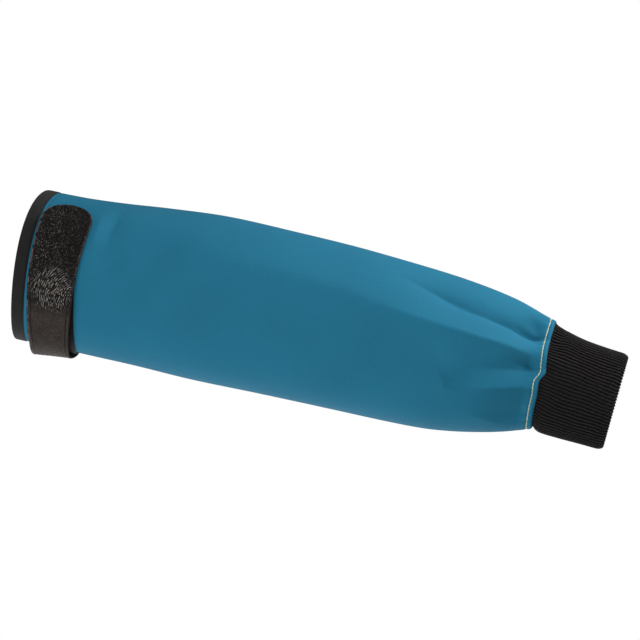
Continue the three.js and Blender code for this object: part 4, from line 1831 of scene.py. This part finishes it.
@dataclass
class Sewing:
    """Where the sleeve's rows of stitches run, and in which thread."""

    form: ArmForm
    cloth: SleeveCloth
    tool: StitchTool
    cream: Finish = SewingThread()
    blue: Finish = SewingThread("blue_sewing_thread", "#2f7f9c", "#225f78")
    black: Finish = SewingThread("black_sewing_thread", "#2a2827", "#151414")
    fine_thread: float = 0.6
    strap_thread: float = 0.8
    seam_row_offset: float = 2.6
    seam_ends: tuple[float, float] = (4.0, 7.0)
    seam_points: int = 240
    box_angles: tuple[float, float] = (-197.0, -174.0)
    box_half_width: float = 13.0

    def cloth_rows(self) -> list[StitchRow]:
        """Rows round both hems and two rows along the felled seam."""
        turn = np.linspace(0, 360, 361)[:-1]
        wrist = np.full(turn.shape, CLOTH_END - self.cloth.wrist_hem)
        upper = np.full(turn.shape, CLOTH_START + self.cloth.upper_hem)
        surface = self.cloth.surface
        rows = [
            StitchRow("wrist_topstitch", self.tool, surface, wrist, turn, self.cream),
            StitchRow(
                "upper_topstitch", self.tool, surface, upper, turn, self.blue, thread_width=self.fine_thread
            ),
        ]
        first, last = CLOTH_START + self.seam_ends[0], CLOTH_END - self.seam_ends[1]
        along = np.linspace(first, last, self.seam_points)
        section = self.form.section(along)
        arc = np.radians(1) * (section.half_height + section.half_depth) / 2
        for name, side in (("seam_stitch_over", 1), ("seam_stitch_under", -1)):
            angle = self.cloth.seam_angle + side * self.seam_row_offset / arc
            rows.append(
                StitchRow(
                    name,
                    self.tool,
                    surface,
                    along,
                    angle,
                    self.blue,
                    closed=False,
                    thread_width=self.fine_thread,
                )
            )
        return rows

    def strap_row(self) -> StitchRow:
        """A box of stitches that holds the strap's sewn end."""
        first, last = self.box_angles
        corners = [(first, -1), (last, -1), (last, 1), (first, 1), (first, -1)]
        walk = np.linspace(0, len(corners) - 1, 161)[:-1]
        angle, side = (np.interp(walk, np.arange(len(corners)), column) for column in zip(*corners))
        along = SmoothTable(STRAP_ROWS, "angle").column("along", angle) + side * self.box_half_width
        surface = Strip(self.form, STRAP_ROWS).surface
        return StitchRow(
            "strap_box_stitch",
            self.tool,
            surface,
            along,
            angle,
            self.black,
            seat=LEATHER_THICKNESS,
            thread_width=self.strap_thread,
        )


def away_direction(azimuth: float, elevation: float) -> Vector:
    """Direction from the sleeve, for angles in degrees: azimuth 0 is the front and 90 the wrist."""
    turn, tilt = math.radians(azimuth), math.radians(elevation)
    return Vector((math.sin(turn) * math.cos(tilt), -math.cos(turn) * math.cos(tilt), math.sin(tilt)))


class LampRow(NamedTuple):
    """A lamp: its direction from the sleeve in degrees, and its share of full light."""

    name: str
    azimuth: float
    elevation: float
    share: float


@dataclass
class Studio:
    """Pale floor, soft light and the camera at the photograph's viewing angle."""

    target: tuple[float, float, float] = (225.98, 0.0, 6.91)
    azimuth: float = 6.875
    elevation: float = 0.668
    roll: float = 12.62
    distance: float = 1775.95
    focal_pixels: float = 2350.0
    frame_pixels: float = 640.0
    sensor: float = 36.0
    clip: tuple[float, float] = (0.05, 50.0)
    floor_drop: float = 1.1
    floor_side: float = 6.0
    fill: float = 0.05
    lamp_distance: float = 1.0
    lamp_size: float = 0.9
    lamps: tuple[LampRow, ...] = (
        LampRow("key", 90, 55, 1.21),
        LampRow("front_high", 0, 55, 0.30),
        LampRow("front", 350, -15, 0.41),
        LampRow("front_low", 340, -50, 0.43),
        LampRow("back_low", 180, -50, 0.58),
        LampRow("below", 0, -89, 0.14),
    )

    def build_camera(self) -> None:
        """Sets the camera where the photograph was taken from."""
        azimuth, roll = math.radians(self.azimuth), math.radians(self.roll)
        away = away_direction(self.azimuth, self.elevation)
        right = Vector((math.cos(azimuth), math.sin(azimuth), 0.0))
        up = away.cross(right)
        rolled_right = right * math.cos(roll) + up * math.sin(roll)
        rolled_up = up * math.cos(roll) - right * math.sin(roll)
        data = bpy.data.cameras.new("camera")
        data.sensor_width = self.sensor
        data.lens = self.sensor * self.focal_pixels / self.frame_pixels
        data.clip_start, data.clip_end = self.clip
        camera = bpy.data.objects.new("camera", data)
        turn = Matrix((rolled_right, rolled_up, away)).transposed().to_4x4()
        place = Vector(self.target) * MM + away * self.distance * MM
        camera.matrix_world = Matrix.Translation(place) @ turn
        bpy.context.scene.collection.objects.link(camera)
        bpy.context.scene.camera = camera

    def build_floor(self) -> None:
        """Lays the floor as far below the sleeve as a forearm is held."""
        middle = (CAD_BOX[0] + CAD_BOX[1]) / 2
        level = CAD_BOX[0].z - self.floor_drop
        half = self.floor_side / 2
        corners = [(-half, -half), (half, -half), (half, half), (-half, half)]
        mesh = bpy.data.meshes.new("floor")
        mesh.from_pydata([(middle.x + x, middle.y + y, level) for x, y in corners], [], [(0, 1, 2, 3)])
        mesh.materials.append(StudioPaper().material())
        floor = bpy.data.objects.new("floor", mesh)
        floor.visible_diffuse = floor.visible_glossy = False
        bpy.context.scene.collection.objects.link(floor)

    def build_light(self) -> None:
        """Broad soft lamps round the sleeve, before a white background."""
        world = bpy.data.worlds.new("studio")
        world.use_nodes = True
        tree = world.node_tree
        tree.nodes.clear()
        white = (1.0, 1.0, 1.0, 1.0)
        seen = add_node(tree, "ShaderNodeBackground", {"Color": white, "Strength": 1.0}).outputs[0]
        cast = add_node(tree, "ShaderNodeBackground", {"Color": white, "Strength": self.fill}).outputs[0]
        path = add_node(tree, "ShaderNodeLightPath").outputs["Is Camera Ray"]
        mixed = add_node(tree, "ShaderNodeMixShader", {0: path, 1: cast, 2: seen}).outputs[0]
        add_node(tree, "ShaderNodeOutputWorld", {"Surface": mixed})
        bpy.context.scene.world = world
        for row in self.lamps:
            self._lamp(row)
        bpy.context.scene.view_settings.view_transform = "Standard"

    def _lamp(self, row: LampRow) -> None:
        """Adds a broad round lamp that faces the sleeve and gives white its share of full light."""
        away = away_direction(row.azimuth, row.elevation)
        data = bpy.data.lights.new(row.name, "AREA")
        data.shape = "DISK"
        data.size = self.lamp_size
        data.energy = row.share * (math.pi * self.lamp_distance) ** 2
        lamp = bpy.data.objects.new(row.name, data)
        lamp.location = Vector(self.target) * MM + away * self.lamp_distance
        lamp.rotation_euler = (-away).to_track_quat("-Z", "Y").to_euler()
        lamp.visible_camera = False
        bpy.context.scene.collection.objects.link(lamp)


def main() -> None:
    """Builds the sleeve's pieces in order and then the studio."""
    logging.basicConfig(level=logging.INFO, format="%(name)s: %(message)s")
    form = ArmForm(CLOTH_ROWS, MAIN_FOLDS + SMALL_FOLDS)
    ribs, stitches = RibTool(), StitchTool()
    cloth = SleeveCloth(form)
    cuff = KnitCuff(form, ribs)
    sewing = Sewing(form, cloth, stitches)
    cloth_rows = sewing.cloth_rows()
    parts = [
        cloth,
        ElasticBand(form, ribs),
        StrapShadeStrip(form),
        LeatherStrap(form),
        FastenerPad(form),
        cuff,
        *cloth_rows,
        sewing.strap_row(),
    ]
    built = {}
    for part in parts:
        for piece in part.build():
            built[piece.name] = piece
            LOG.info("%s: %d faces", piece.name, len(piece.data.polygons))
    cloth.declare(built["sleeve_cloth"], [built[row.name] for row in cloth_rows])
    cuff.declare(built["knit_cuff"])
    studio = Studio()
    studio.build_camera()
    studio.build_floor()
    studio.build_light()


if __name__ == "__main__":
    main()
